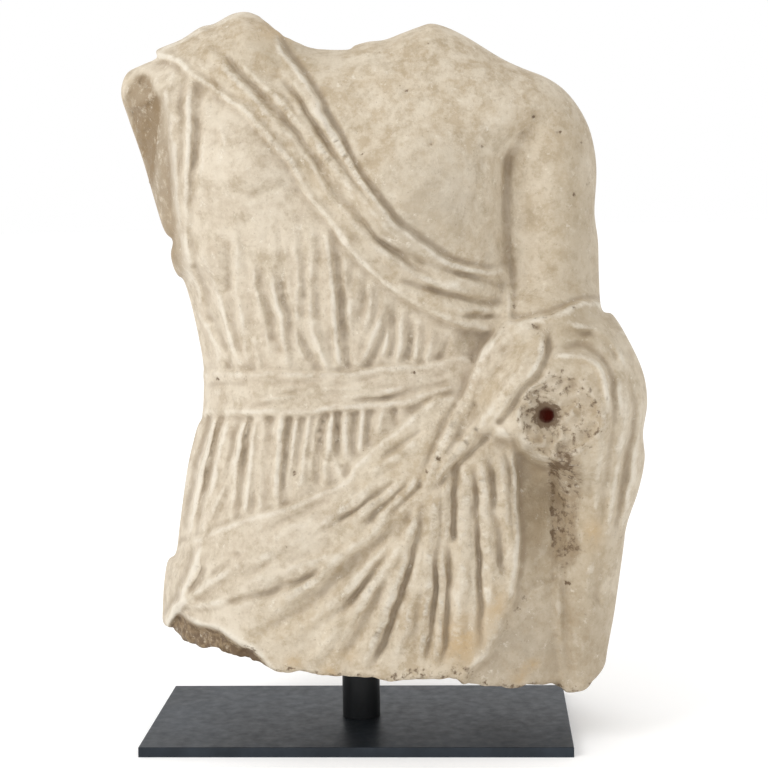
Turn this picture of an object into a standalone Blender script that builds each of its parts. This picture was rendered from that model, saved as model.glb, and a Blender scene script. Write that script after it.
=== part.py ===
"""A broken marble torso of a draped goddess, on the steel post and plate that hold it up.

Metres, +Z up. The origin is the middle of the plate's underside, on the post's axis, and the
figure faces -Y. The figure is drawn as an elevation, in drawing units of one millimetre at full
size: x across, z up from the floor. The drawing shows what is seen from STATION, so a drawn point
stands for the line from STATION through that point of the plane y = 0.
"""

import math

import bmesh
import bpy
import numpy as np
from mathutils import Matrix, Vector
from mathutils.bvhtree import BVHTree

# The steel stand
PLATE_WIDTH = 0.4064
PLATE_DEPTH = 0.2032
PLATE_THICKNESS = 0.0095
PLATE_BEVEL = 0.0008
POST_DIAMETER = 0.037
POST_RISE = 0.066  # the plate's top to the marble's underside
POST_SIDES = 48
SEAM = 0.0003  # between pieces that touch

# The marble
FIGURE_HEIGHT = 0.640
SOCKET_DEPTH = 0.030
SOCKET_CLEARANCE = 0.0005
TRIANGLES = 9200  # what the solid keeps of the carving
LEAST_RISE = 4.0  # shallower folds, in drawing units, don't survive the thinning
WIDER = 1.0  # each side, so that the facets can follow a fold
UNTANGLE_ROUNDS = 40
FOLD_LIMIT = math.radians(150)  # no two facets fold back on each other more sharply

# The drawing of the figure, in drawing units
DRAWN_HEIGHT = 640.0
DRAWN_SEAT = 75.5  # the underside's height where the post enters
UNIT = FIGURE_HEIGHT / DRAWN_HEIGHT
STATION = np.array([116.0, -1629.0, 515.0])
SHEET_LOW = (-262.0, -44.0)
SHEET_HIGH = (322.0, 740.0)
BLOCK_LOW = np.array([-262.0, -192.0, 14.0])
BLOCK_HIGH = np.array([322.0, 158.0, 740.0])
BLOCK_STEP = 7.6
EDGE_ROUND = 5.0  # round the broken underside

MARBLE_COLOUR = (0.66, 0.58, 0.46, 1.0)
STEEL_COLOUR = (0.012, 0.014, 0.017, 1.0)

# The marble's outline, from the broken left arm over the shoulders and down the right side
OUTLINE = [
    (-219, 618), (-217, 632), (-211, 641), (-198, 647), (-184, 653), (-184, 660), (-176, 664),
    (-160, 670), (-141, 681), (-128, 684), (-112, 692), (-100, 694.5), (-90, 692.5), (-72, 683),
    (-48, 666), (-32, 659), (-2, 657), (6, 661), (18, 664), (34, 665.5), (50, 671), (66, 676.5),
    (78, 679.5), (92, 676), (112, 666), (142, 647), (162, 637), (186, 627), (204, 614),
    (219, 594), (229, 570), (233.5, 540), (231, 500), (234.5, 470), (236.5, 411), (248, 402),
    (261, 381), (276, 348), (280.5, 318), (276.5, 288), (278, 262), (272, 232), (261, 199),
    (257, 172), (249, 115), (239, 52), (238, -30), (-196, -30), (-196, 96), (-190, 160),
    (-180, 174), (-175, 204), (-166, 260), (-157, 296), (-150, 314), (-150, 360), (-157, 405),
    (-165, 439), (-171, 445), (-176, 465), (-174, 480), (-183, 493), (-200, 556), (-213, 597),
]
# The broken lower edge, left to right
HEM = [(-230, 90), (-196, 82), (-186, 77), (-156, 73), (-130, 66), (-100, 59), (-59, 52.5),
       (-16, 48), (20, 45.5), (88, 47), (95, 46), (102, 40), (121, 36), (150, 34), (192, 35.5),
       (204, 31.5), (221, 32), (236, 41), (260, 62)]

# The edges of the cloths
STRAP_LOW = [(-190, 657), (-167, 650), (-152, 635), (-124, 616), (-106, 603), (-82, 576), (-61, 552),
             (-46, 524), (-29, 503), (0, 462), (32, 432), (70, 406), (105, 393), (148, 391)]
STRAP_HIGH = [(-84, 700), (-61, 658), (-38, 627), (-22, 595), (-6, 565), (10, 537), (29, 510),
              (50, 487), (76, 468), (99, 453), (125, 447), (149, 446)]
GIRDLE_TOP = [(-170, 350), (-17, 350), (24, 355), (63, 357.5), (112, 362)]
GIRDLE_LOW = [(-170, 314), (-119, 310), (-62, 308.5), (0, 313.5), (50, 317), (104, 324)]
MANTLE_EDGE = [(-205, 170), (-179, 180), (-150, 191), (-119, 204), (-70, 220), (-40, 231.5),
               (-14, 244.5), (0, 264), (24, 283), (60, 312), (84, 326)]
MANTLE_SIDE = [(118, 318), (136, 300), (152, 280), (154, 240), (157, 186), (154, 150), (150, 100), (150, -40)]
ROLL_HIGH = [(150, 396), (134, 382), (121, 366), (105, 327), (87, 295), (74, 264), (64, 246)]
ROLL_LOW = [(180, 388), (183, 372), (178, 353), (158, 331), (139, 304), (115, 280), (94, 259), (68, 236)]
SLEEVE_EDGE = [(130, 386), (147, 395.5), (171, 400), (190, 402), (213, 413), (226, 415), (250, 409)]
TORSO_SIDE = [(40, 236), (200, 236), (262, 212), (300, 184), (340, 168), (400, 159), (440, 157),
              (500, 158), (550, 164), (575, 186), (600, 232), (640, 262)]  # half the width, by height
BACK_SIDE = [(40, 200), (200, 196), (280, 188), (340, 168), (400, 158), (440, 156), (500, 157),
             (550, 162), (575, 186), (600, 232), (640, 262)]
ARM_DEPTH = [(400, 58), (560, 56)]  # from y = 0 to the upper arm's front, by height
FALL_DEPTH = [(40, 86), (200, 92), (330, 98), (400, 84)]
FALL_BEHIND = [(40, 62), (400, 64)]
STUMP = (197.0, 306.0)
STUMP_RADIUS = 44.0
STUMP_FRONT = 124.0
DOWEL_HOLE = (184.0, 306.0)

# Straight folds: x and z of the two ends, how far the middle bows to the left of the way from the
# first end to the second, the rise (below 0 it is a groove) and half the width
BODICE_FOLDS = [
    (-163, 510, -140, 400, 1, -5.0, 7), (-148, 497, -109, 356, -3, 5.0, 6),
    (-164, 485, -120, 362, -5, 4.0, 5), (-152, 430, -119, 352, 2, -5.0, 6),
    (-158, 430, -116, 354, -4, 4.0, 4), (-122, 500, -119, 430, 0, -3.5, 6),
    (-113, 430, -104, 360, 0, 4.0, 5), (-100, 398, -94, 352, 2, 4.0, 5),
    (-103, 490, -78, 380, 2, -4.5, 7), (-79, 470, -41, 362, -5, -5.0, 7),
    (-62, 490, -57, 430, 0, -3.0, 6), (-50, 505, -48, 420, 0, -3.4, 7),
    (-29, 505, -38, 400, -1, -4.2, 7), (-19, 505, -7, 352, 1, -7.0, 7), (-27, 500, -16, 352, 1, 4.0, 5),
    (-24, 410, -13, 350, -4, -4.0, 5), (-51, 384, -35, 352, 0, -4.0, 6), (-45, 400, -25, 352, 0, 4.0, 5),
    (33, 432, 3, 355, 3, 5.0, 5), (42, 428, 12, 354, 3, -5.0, 6), (20, 445, -2, 356, 2, 3.5, 5),
    (41, 412, 34, 362, 0, -4.4, 6), (60, 402, 50, 362, 0, -4.6, 6), (50, 410, 40, 358, 0, 4.0, 5),
    (94, 386, 80, 360, 0, -4.6, 6), (14, 460, 6, 370, 0, -3.4, 6), (78, 392, 68, 360, 0, 4.0, 6),
    (2, 470, -3, 420, 0, -3.0, 6), (-70, 505, -66, 430, 0, -2.8, 6), (-74, 400, -66, 354, 2, 4.0, 6),
]
SKIRT_FOLDS = [
    (-141, 312, -172, 180, -5, -6.0, 7), (-136, 312, -168, 180, 0, 5.0, 5),
    (-130, 310, -164, 180, -1, -5.0, 6), (-120, 310, -140, 250, 0, -5.0, 7),
    (-119, 310, -158, 184, -3, 5.0, 5), (-109, 310, -132, 236, -1, -5.0, 6),
    (-106, 306, -156, 188, 3, 5.0, 5), (-102, 310, -118, 200, -2, -6.0, 7),
    (-99, 310, -111, 203, -1, 5.0, 5), (-94, 304, -102, 206, 0, -4.0, 7),
    (-84, 310, -90, 212, 0, -3.5, 8), (-64, 310, -74, 230, 0, -4.6, 6), (-72, 310, -82, 216, 0, 3.4, 6),
    (-52, 308, -66, 226, 0, -4.0, 6), (-41, 311, -46, 262, 0, -4.6, 6), (-46, 308, -55, 232, 0, 3.4, 5),
    (-27, 311, -41, 232, -4, -7.0, 6), (-17, 312, -22, 262, 0, -4.6, 6), (-22, 310, -32, 240, -2, 4.0, 5),
    (0, 313, -5, 264, 0, -5.0, 6), (13, 314, 8, 274, 0, -5.0, 6), (38, 316, 36, 296, 0, -4.0, 5),
    (-9, 310, -14, 256, 0, 3.6, 6), (7, 313, 2, 270, 0, 3.6, 5), (25, 314, 22, 286, 0, 3.6, 5),
]
GIRDLE_FOLDS = [
    (-8, 320, 97, 342, -3, -4.0, 5), (20, 322, 97, 350, 0, -3.6, 5), (50, 317, 104, 332, 0, -3.6, 5),
    (-103, 325, 8, 340, 0, -3.2, 4), (-103, 318, 2, 330, 2, -3.0, 4), (-8, 326, 96, 346, -3, 3.0, 4),
    (-148, 338, -100, 339, 0, -3.2, 4), (-160, 331, -60, 329, 0, 2.0, 8), (-100, 322, 6, 335, 1, 2.4, 4),
    (44, 318, 100, 337, 0, 3.0, 4), (-60, 346, 60, 352, 0, 1.6, 5),
]
MANTLE_FOLDS = [
    (-156, 186, -190, 106, 6, 11.0, 7), (-122, 158, -184, 112, -3, 8.0, 7), (-126, 124, -174, 119, 0, 6.0, 5),
    (-148, 164, -176, 124, 0, -5.0, 7), (-112, 176, -150, 146, 0, -3.0, 9),
    (-142, 120, -26, 157, -3, -6.0, 6), (-120, 137, -14, 172, 2, 5.5, 10),
    (66, 230, -116, 78, 9, -7.0, 14), (10, 194, -88, 118, 4, 4.0, 9),
    (50, 205, -70, 84, 5, 5.5, 9), (62, 224, -26, 106, 4, -6.0, 8), (58, 208, -58, 56, 6, 5.0, 11),
    (-24, 203, 44, 250, -2, -5.0, 6), (4, 200, 52, 244, -2, -4.5, 6), (28, 208, 70, 252, -2, -5.0, 6),
    (-14, 202, 48, 247, -2, 4.5, 6), (14, 202, 62, 250, -2, 4.5, 6), (-52, 190, 14, 236, -2, 4.5, 7),
    (-100, 192, -20, 228, 0, -4.0, 8), (-108, 160, -44, 192, 0, 4.5, 9), (20, 262, 66, 296, 0, -4.0, 5),
    (12, 250, 60, 284, 0, 4.0, 6),
]
LOWER_FOLDS = [
    (67, 236, 6, 50, 8, -8.5, 7), (62, 214, -4, 54, 8, 5.5, 8), (74, 220, 26, 56, 9, 5.0, 7),
    (76, 236, 74, 190, 0, 5.5, 5), (69, 178, 60, 60, 2, 6.5, 6), (74, 168, 60, 56, 5, -6.0, 5),
    (80, 160, 73, 56, 4, 6.0, 5), (85, 196, 79, 58, 4, -7.5, 6), (88, 245, 86, 196, 0, 5.0, 5),
    (98, 264, 93, 176, -3, -8.5, 6), (106, 262, 103, 120, 0, 6.5, 7), (113, 262, 117, 66, 3, -8.0, 6),
    (122, 268, 126, 110, 0, 6.5, 7), (130, 272, 142, 140, -2, -7.5, 6), (141, 272, 148, 160, 0, 6.0, 5),
    (147, 268, 151, 190, 0, -5.0, 4), (152, 268, 156, 150, 0, 6.5, 4),
    (38, 190, 18, 100, 3, 4.0, 9), (26, 150, -24, 58, 3, -3.6, 9), (98, 170, 96, 62, 0, 4.5, 8),
]
SIDE_FOLDS = [
    (-167, 645, -188, 596, -5, 6.0, 6), (-160, 640, -176, 566, 3, -5.0, 6),
    (-152, 642, -162, 450, -3, 6.5, 6), (-159, 600, -166, 450, 0, -3.5, 4), (-172, 596, -166, 440, 0, 5.5, 5),
    (-174, 622, -179, 550, 0, 5.0, 5), (-142, 636, -151, 540, 0, -4.0, 7),
    (-98, 680, -94, 653, 0, -4.0, 5),
]
# Curved folds, through their points: rise, half width
STRAP_FOLDS = [
    ([(-143, 673), (-124, 648), (-90, 613), (-62, 582), (-50, 569)], 4.5, 8),
    ([(-127, 667), (-105, 639), (-89, 621), (-74, 602), (-56, 583), (-40, 560)], -6.0, 7),
    ([(-137, 679), (-103, 642), (-70, 613), (-46, 585), (-14, 544), (6, 518), (32, 490), (62, 468)], 4.5, 7),
    ([(-84, 650), (-56, 620), (-36, 592), (-20, 566), (0, 536), (22, 508)], -4.6, 7),
    ([(-62, 637), (-38, 608), (-20, 577), (-9, 561), (12, 530), (30, 508)], 4.0, 6),
    ([(-60, 584), (-38, 560), (-18, 528), (4, 500), (28, 474), (60, 450), (98, 437)], -5.0, 7),
    ([(-30, 544), (-10, 512), (14, 482), (44, 455), (78, 438), (112, 427), (150, 426)], 4.0, 7),
    ([(8, 490), (21, 478), (44, 466), (73, 454), (104, 443), (150, 439)], -4.6, 5),
    ([(40, 441), (70, 430), (99, 422), (121, 416), (148, 416)], -6.5, 5),
    ([(95, 446), (117, 438), (148, 431)], -5.5, 5),
    ([(104, 405), (129, 401), (148, 403)], -4.6, 4),
    ([(58, 425), (98, 410), (128, 407), (152, 412)], 3.4, 5),
    ([(-150, 644), (-127, 626), (-111, 615), (-100, 606)], -4.0, 5),
    ([(-186, 657), (-167, 650), (-158, 643), (-155, 636)], 5.0, 6),
]
SLEEVE_FOLDS = [
    ([(190, 369), (206, 373), (224, 372), (238, 359), (247, 341), (250, 318), (247, 290)], -5.5, 6),
    ([(184, 362), (204, 364), (220, 361), (234, 350), (242, 330), (244, 306)], 5.0, 6),
    ([(196, 392), (222, 390), (240, 379), (254, 362), (262, 340)], 5.5, 7),
    ([(214, 380), (230, 384), (246, 370), (256, 350)], -4.5, 5),
    ([(258, 354), (269, 322), (266, 288), (259, 250), (250, 200)], -7.0, 6),
    ([(250, 346), (258, 318), (256, 282), (248, 236), (242, 196)], 6.5, 7),
    ([(240, 352), (249, 322), (247, 290), (240, 250)], -4.0, 5),
    ([(270, 344), (276, 318), (272, 282), (266, 244), (258, 204)], 5.5, 7),
    ([(234, 300), (234, 250), (228, 196)], 3.5, 8),
    ([(189, 268), (190, 200), (191, 150), (192, 100), (193, 40)], -6.0, 5),
    ([(200, 262), (201, 200), (202, 130), (203, 50)], 4.0, 6),
    ([(226, 180), (222, 120), (216, 50)], 3.0, 9),
    ([(238, 176), (232, 120), (226, 60)], -3.0, 7),
    ([(180, 356), (184, 376), (175, 391)], -6.0, 4),
]
# The clefts between the body and its arm, and the bare breast's crease
BODY_FOLDS = [
    ([(152, 578), (149, 545), (148, 500), (149, 462), (152, 432), (155, 402)], -4.5, 7),
    ([(124, 566), (124, 550), (120, 528), (113, 503)], -2.5, 6),
    ([(124, 625), (137, 616), (150, 611), (178, 607), (184, 602)], -1.5, 3),
    ([(-150, 534), (-125, 524), (-98, 521), (-70, 530)], -2.5, 10),
    ([(-127, 600), (-124, 584), (-119, 566)], 2.0, 6),
]
ROLL_FOLDS = [
    ([(146, 392), (128, 372), (112, 338), (97, 305), (82, 274), (72, 256)], 4.5, 6),
    ([(160, 384), (136, 352), (116, 318), (100, 291), (84, 262)], -4.0, 9),
    ([(172, 372), (152, 342), (130, 312), (108, 284), (88, 258)], 5.0, 8),
    ([(178, 362), (158, 334), (134, 304), (112, 280), (94, 260)], -3.5, 5),
]
# Areas that stand back or forward
ARM_BREAK = [(-208, 634), (-195, 638), (-186, 622), (-183, 600), (-187, 575), (-191, 545), (-196, 520),
             (-200, 540), (-212, 585), (-217, 612)]
ARM_SIDE = [(-176, 600), (-173, 586), (-171, 545), (-169, 495), (-165, 430), (-200, 430), (-250, 540),
            (-250, 600)]
SHADED_SIDE = [(158, 268), (155, 215), (160, 166), (180, 150), (190, 170), (190, 264)]
BROKEN_CORNER = [(171, 139), (159, 122), (145, 105), (139, 84), (120, 62), (104, 50), (100, 10),
                 (260, 10), (252, 60), (232, 118), (205, 141)]
CHIP = [(-210, 76), (-193, 91), (-180, 111), (-163, 101), (-138, 94), (-122, 79), (-109, 74),
        (-92, 56), (-88, 20), (-210, 20)]
TURNED_CORNER = [(-162, 184), (-164, 160), (-175, 140), (-191, 112), (-220, 112), (-220, 190)]
ARMPIT_HOLLOW = [(104, 389), (146, 390), (136, 375), (119, 361), (106, 370)]


def smooth(low, high, value):
    """0 below low, 1 above high, and an S-curve between them."""
    t = np.clip((value - low) / (high - low), 0.0, 1.0)
    return t * t * (3 - 2 * t)


def by_height(z, table):
    """A size that changes with height, from (height, size) pairs that go upwards."""
    heights, sizes = zip(*table)
    return np.interp(z, heights, sizes)


def through(points, step=2.0, closed=False):
    """A smooth curve through the points, as samples about a step apart."""
    pts = np.array(points, float)
    if closed:
        pts = np.vstack([pts[-1:], pts, pts[:2]])
    else:
        pts = np.vstack([2 * pts[:1] - pts[1:2], pts, 2 * pts[-1:] - pts[-2:-1]])
    made = []
    for a, b, c, d in zip(pts, pts[1:], pts[2:], pts[3:]):
        count = max(2, int(np.linalg.norm(c - b) / step))
        t = np.linspace(0, 1, count, endpoint=False)[:, None]
        made.append(0.5 * (2 * b + (c - a) * t + (2 * a - 5 * b + 4 * c - d) * t**2
                           + (3 * b - a - 3 * c + d) * t**3))
    if not closed:
        made.append(pts[-2:-1])
    return np.vstack(made)


def evenly(curve, count=120):
    """The same curve as a fixed number of samples, evenly spaced."""
    along = np.concatenate([[0], np.cumsum(np.linalg.norm(np.diff(curve, axis=0), axis=1))])
    at = np.linspace(0, along[-1], count)
    return np.stack([np.interp(at, along, curve[:, 0]), np.interp(at, along, curve[:, 1])], 1)


def between(low, high, share):
    """The curve that runs a share of the way from one edge to the other."""
    return evenly(through(low)) * (1 - share) + evenly(through(high)) * share


def beside(points, distance):
    """A curve moved to its left."""
    curve = evenly(through(points))
    tangent = np.gradient(curve, axis=0)
    tangent /= np.linalg.norm(tangent, axis=1)[:, None]
    return curve + distance * np.stack([-tangent[:, 1], tangent[:, 0]], 1)


def bowed(x0, z0, x1, z1, bow):
    """A shallow arc between two points."""
    start, end = np.array([x0, z0], float), np.array([x1, z1], float)
    t = np.linspace(0, 1, 24)[:, None]
    way = (end - start) / np.linalg.norm(end - start)
    return start + (end - start) * t + bow * 4 * t * (1 - t) * np.array([-way[1], way[0]])


class Sheet:
    """A sheet of drawing paper: a number for each square millimetre of the drawing."""

    x = np.arange(SHEET_LOW[0], SHEET_HIGH[0])
    z = np.arange(SHEET_LOW[1], SHEET_HIGH[1])
    X, Z = np.meshgrid(x, z)

    def __init__(self, values=0.0):
        self.a = np.zeros_like(self.X) + values

    def read(self, x, z):
        """The sheet's value at any points."""
        u = np.clip(x - self.x[0], 0, len(self.x) - 1.001)
        v = np.clip(z - self.z[0], 0, len(self.z) - 1.001)
        i, j = v.astype(int), u.astype(int)
        p, q = v - i, u - j
        a = self.a
        return ((a[i, j] * (1 - q) + a[i, j + 1] * q) * (1 - p)
                + (a[i + 1, j] * (1 - q) + a[i + 1, j + 1] * q) * p)

    def window(self, curve, reach):
        """The part of the sheet within reach of a curve, and its cells as points."""
        low, high = curve.min(0) - reach, curve.max(0) + reach
        j0, j1 = np.searchsorted(self.x, [low[0], high[0]])
        i0, i1 = np.searchsorted(self.z, [low[1], high[1]])
        part = (slice(i0, i1), slice(j0, j1))
        return part, np.stack([self.X[part], self.Z[part]], -1).reshape(-1, 2)

    def fold(self, curve, rise, half, fade=0.22, fade_end=0.22):
        """A crested ridge, or with rise below 0 a groove, along a curve, dying out at its ends."""
        part, cells = self.window(curve, half + 1)
        away, _, share = closest(curve, cells)
        ends = smooth(0, fade, share) * smooth(0, fade_end, 1 - share)
        self.a[part] += (rise * ends * crest(away / half)).reshape(self.X[part].shape)

    def lip(self, curve, rise, inner, outer, fade=0.1):
        """A cloth's edge: high along the curve, sinking slowly to its right and steeply to its left."""
        part, cells = self.window(curve, inner + 1)
        away, side, share = closest(curve, cells)
        slope = np.where(side > 0, 1 - smooth(0, outer, away), 1 - smooth(0, inner, away))
        ends = smooth(0, fade + 1e-3, share) * smooth(0, fade + 1e-3, 1 - share)
        self.a[part] += (rise * ends * slope).reshape(self.X[part].shape)

    def area(self, outline, rise, soft):
        """Everything inside an outline goes up or down, with a soft edge."""
        curve = through(outline, 3.0, closed=True)
        part, cells = self.window(curve, soft + 1)
        distance = inside_distance(curve, cells).reshape(self.X[part].shape)
        self.a[part] += rise * smooth(-soft, soft, distance)

    def mound(self, x, z, half_x, half_z, rise, power=1.0):
        """A round swelling."""
        d = ((self.X - x) / half_x) ** 2 + ((self.Z - z) / half_z) ** 2
        self.a += rise * np.exp(-(d**power))

    def lay(self, outline, thickness, soft, cloth, hem=0.0):
        """Put a cloth on top, with a rolled edge: inside its outline only its own folds show."""
        curve = through(outline, 3.0, closed=True)
        part, cells = self.window(curve, soft + 1)
        inner = inside_distance(curve, cells).reshape(self.X[part].shape)
        surface = thickness + cloth.a[part] + hem * np.exp(-(((inner - 2.5) / 3) ** 2))
        self.a[part] += smooth(-soft, soft, inner) * (surface - self.a[part])


def crest(away):
    """A fold's cross-section: 1 on its line, 0 one half width away, with a fairly sharp crest."""
    away = np.clip(np.abs(away), 0, 1)
    return 0.5 * (0.5 + 0.5 * np.cos(np.pi * away)) + 0.5 * (1 - away) ** 1.5


def closest(curve, cells):
    """How far each cell is from a curve, on which side (1 for its left), and its share of the way along."""
    size = (curve**2).sum(1)
    nearest = np.empty(len(cells), int)
    for start in range(0, len(cells), 20000):
        some = cells[start:start + 20000]
        nearest[start:start + 20000] = (size[None] - 2 * some @ curve.T).argmin(1)
    away = np.full(len(cells), np.inf)
    side, share = np.zeros(len(cells)), np.zeros(len(cells))
    for first in (nearest - 1, nearest):
        first = np.clip(first, 0, len(curve) - 2)
        way = curve[first + 1] - curve[first]
        offset = cells - curve[first]
        t = np.clip((offset * way).sum(1) / (way**2).sum(1), 0, 1)
        gap = np.linalg.norm(offset - t[:, None] * way, axis=1)
        better = gap < away
        left = np.sign(way[:, 0] * offset[:, 1] - way[:, 1] * offset[:, 0])
        away, side = np.where(better, gap, away), np.where(better, left, side)
        share = np.where(better, (first + t) / (len(curve) - 1), share)
    return away, side, share


def inside_distance(curve, cells):
    """How far inside a closed curve each cell is; below 0 outside."""
    away = closest(np.vstack([curve, curve[:1]]), cells)[0]
    inside = np.zeros(len(cells), bool)
    for a, b in zip(curve, np.roll(curve, -1, axis=0)):
        if a[1] == b[1]:
            continue
        level = (cells[:, 1] > min(a[1], b[1])) & (cells[:, 1] <= max(a[1], b[1]))
        at = a[0] + (cells[level, 1] - a[1]) / (b[1] - a[1]) * (b[0] - a[0])
        inside[level] ^= cells[level, 0] > at
    return np.where(inside, away, -away)


def larger(a, b, blend):
    """The larger of two heights, with a fillet where they meet."""
    h = np.clip(0.5 + 0.5 * (a - b) / blend, 0, 1)
    return b + (a - b) * h + blend * h * (1 - h)


def trunk(X, Z, depths, right):
    """The body under the cloth, without its arm."""
    middle = by_height(Z, [(40, 2), (340, 0), (560, -6), (700, 0)])
    left = by_height(Z, [(40, 265), (200, 250), (340, 205), (500, 226), (640, 270)])
    across = np.where(X > middle, (X - middle) / by_height(Z, right), (middle - X) / left)
    power = np.where(X > middle, 3.6, 2.4)
    return by_height(Z, depths) * np.sqrt(1 - np.clip(across, 0, 1) ** power)


def limb(X, Z, centre, half, depth, top, power=2.0):
    """Something round that hangs down: its middle by height, and where it fades out at the top."""
    across = np.clip(np.abs(X - by_height(Z, centre)) / half, 0, 1)
    return by_height(Z, depth) * np.sqrt(1 - across**power) * (1 - smooth(top[0], top[1], Z))


def forearm(X, Z):
    """The forearm comes forward out of the cloth that wraps it, and is broken off."""
    dx, dz = X - STUMP[0], Z - STUMP[1]
    beyond = np.hypot(dx, dz) - STUMP_RADIUS
    angle = np.degrees(np.arctan2(dz, dx))
    below = smooth(-172, -150, angle) * (1 - smooth(-100, -60, angle))
    slope = 46 - 32 * below
    return STUMP_FRONT - 34 * smooth(-2, slope, beyond) - 0.9 * np.maximum(beyond - slope, 0)


def front_form():
    """How far the front stands out from y = 0, before its folds."""
    X, Z = Sheet.X, Sheet.Z
    depths = [(40, 110), (120, 114), (200, 111), (280, 101), (340, 92), (400, 94), (470, 101), (540, 99),
              (600, 84), (650, 64), (700, 48)]
    form = Sheet(trunk(X, Z, depths, TORSO_SIDE))
    form.mound(-104, 556, 46, 50, 20, 1.3)  # the veiled breast
    form.mound(62, 540, 56, 52, 15, 1.3)  # the bare breast
    form.mound(15, 225, 90, 70, 7)  # the belly
    form.mound(-110, 110, 70, 90, 9)  # the thigh that bears the weight
    arm = limb(X, Z, [(400, 199), (560, 194)], 56, ARM_DEPTH, (600, 660), 2.4)
    web = limb(X, Z, [(400, 150)], 32, [(400, 46), (560, 44)], (566, 606), 4.0)
    form.a = larger(form.a, larger(arm, web, 8), 8)
    fall = limb(X, Z, [(40, 240), (400, 240)], 54, FALL_DEPTH, (384, 412), 4.0)
    form.a = larger(form.a, fall, 6)
    form.a = larger(form.a, forearm(X, Z), 7)
    return form


def back_form():
    """How far the back stands out from y = 0, before its folds."""
    X, Z = Sheet.X, Sheet.Z
    depths = [(40, 104), (120, 112), (200, 112), (280, 95), (340, 80), (400, 82), (480, 92), (560, 98),
              (610, 88), (650, 68), (700, 48)]
    form = Sheet(trunk(X, Z, depths, BACK_SIDE))
    for side in (-1, 1):
        form.mound(75 * side, 560, 58, 55, 9)  # shoulder blade
        form.mound(75 * side, 180, 68, 70, 9)  # hip
    form.fold(through([(4, 640), (2, 520), (0, 400), (0, 300)]), -9, 34)  # the spine
    arm = limb(X, Z, [(300, 205), (400, 198), (560, 190)], 52, ARM_DEPTH, (600, 660))
    form.a = larger(form.a, arm, 6)
    fall = limb(X, Z, [(40, 222), (400, 226)], 74, FALL_BEHIND, (320, 420), 3.2)
    form.a = larger(form.a, fall, 8)
    return form


def back_strap(side):
    """The strap's lower (0) or upper (1) edge behind, from the shoulder to under the right arm."""
    width = 52 * side
    return [(-170 + 80 * side, 670 + 30 * side), (-70 + width, 590 + 0.3 * width),
            (40 + 0.8 * width, 480 + 0.6 * width), (170, 404 + width)]


def back_mantle():
    """The mantle's upper edge behind, which rises to the arm that carries it."""
    return [(-205, 170), (-150, 196), (-60, 226), (40, 262), (140, 318), (210, 372), (300, 400)]


def cloth(straight=(), curved=(), fade=0.2, fade_end=0.2):
    """The larger folds of one cloth, as a sheet of their own."""
    made = Sheet()
    for x0, z0, x1, z1, bow, rise, half in straight:
        if abs(rise) >= LEAST_RISE:
            made.fold(bowed(x0, z0, x1, z1, bow), rise, half + WIDER, fade, fade_end)
    for points, rise, half in curved:
        if abs(rise) >= LEAST_RISE:
            made.fold(through(points), rise, half + WIDER)
    return made


def front_folds():
    """The carving of the front, cloth over cloth, and what has broken away."""
    relief = cloth(BODICE_FOLDS, fade=0.45, fade_end=0.03)
    relief.a += cloth(SKIRT_FOLDS, fade=0.03, fade_end=0.2).a
    relief.a += cloth(SIDE_FOLDS).a
    relief.area(ARM_SIDE, -7, 4)
    relief.area(ARM_BREAK, -13, 8)
    relief.area(SHADED_SIDE, -6, 9)
    girdle = cloth(GIRDLE_FOLDS)
    relief.lay(GIRDLE_LOW + GIRDLE_TOP[::-1], 4.5, 2.5, girdle, 1.0)
    strap = cloth(curved=STRAP_FOLDS)
    relief.lay(STRAP_LOW + STRAP_HIGH[::-1], 6, 3, strap, 2.0)
    relief.fold(beside(STRAP_HIGH, 2), -4.0, 6, 0.05, 0.05)
    relief.area(ARMPIT_HOLLOW, -5, 8)
    relief.a += cloth(curved=BODY_FOLDS).a
    mantle = cloth(MANTLE_FOLDS + LOWER_FOLDS)
    relief.lay(MANTLE_EDGE + MANTLE_SIDE + [(-240, -40)], 5.5, 2.5, mantle, 1.5)
    relief.area(TURNED_CORNER, -5, 4)
    sleeve = cloth(curved=SLEEVE_FOLDS)
    relief.lay(SLEEVE_EDGE + [(330, 400), (330, -40), (189, -40), (190, 262), (150, 330)], 0, 4, sleeve)
    relief.lip(through(SLEEVE_EDGE), 8, 34, 5)
    relief.fold(beside(SLEEVE_EDGE, 3), -3.0, 4, 0.1, 0.1)
    relief.lay(BROKEN_CORNER, 3.0, 4, Sheet())
    roll = cloth(curved=ROLL_FOLDS)
    relief.lay(ROLL_HIGH + ROLL_LOW[::-1], 8.5, 3.5, roll, 2.0)
    relief.fold(beside(ROLL_LOW, 4), -4.0, 6, 0.1, 0.1)
    relief.fold(beside(ROLL_HIGH, -4), -2.5, 5, 0.2, 0.1)
    relief.area(CHIP, -15, 3)
    relief.a += stump_relief()
    return relief


def stump_relief():
    """The rough face of the forearm's stump, with the hole of an old dowel."""
    X, Z = Sheet.X, Sheet.Z
    away = np.hypot(X - STUMP[0], Z - STUMP[1])
    face = 1 - smooth(STUMP_RADIUS - 12, STUMP_RADIUS - 2, away)
    hole = np.hypot(X - DOWEL_HOLE[0], Z - DOWEL_HOLE[1])
    sunk = -5 * (1 - smooth(6, 22, hole)) - 16 * (1 - smooth(4, 8, hole))
    return -4 * face + sunk


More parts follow.
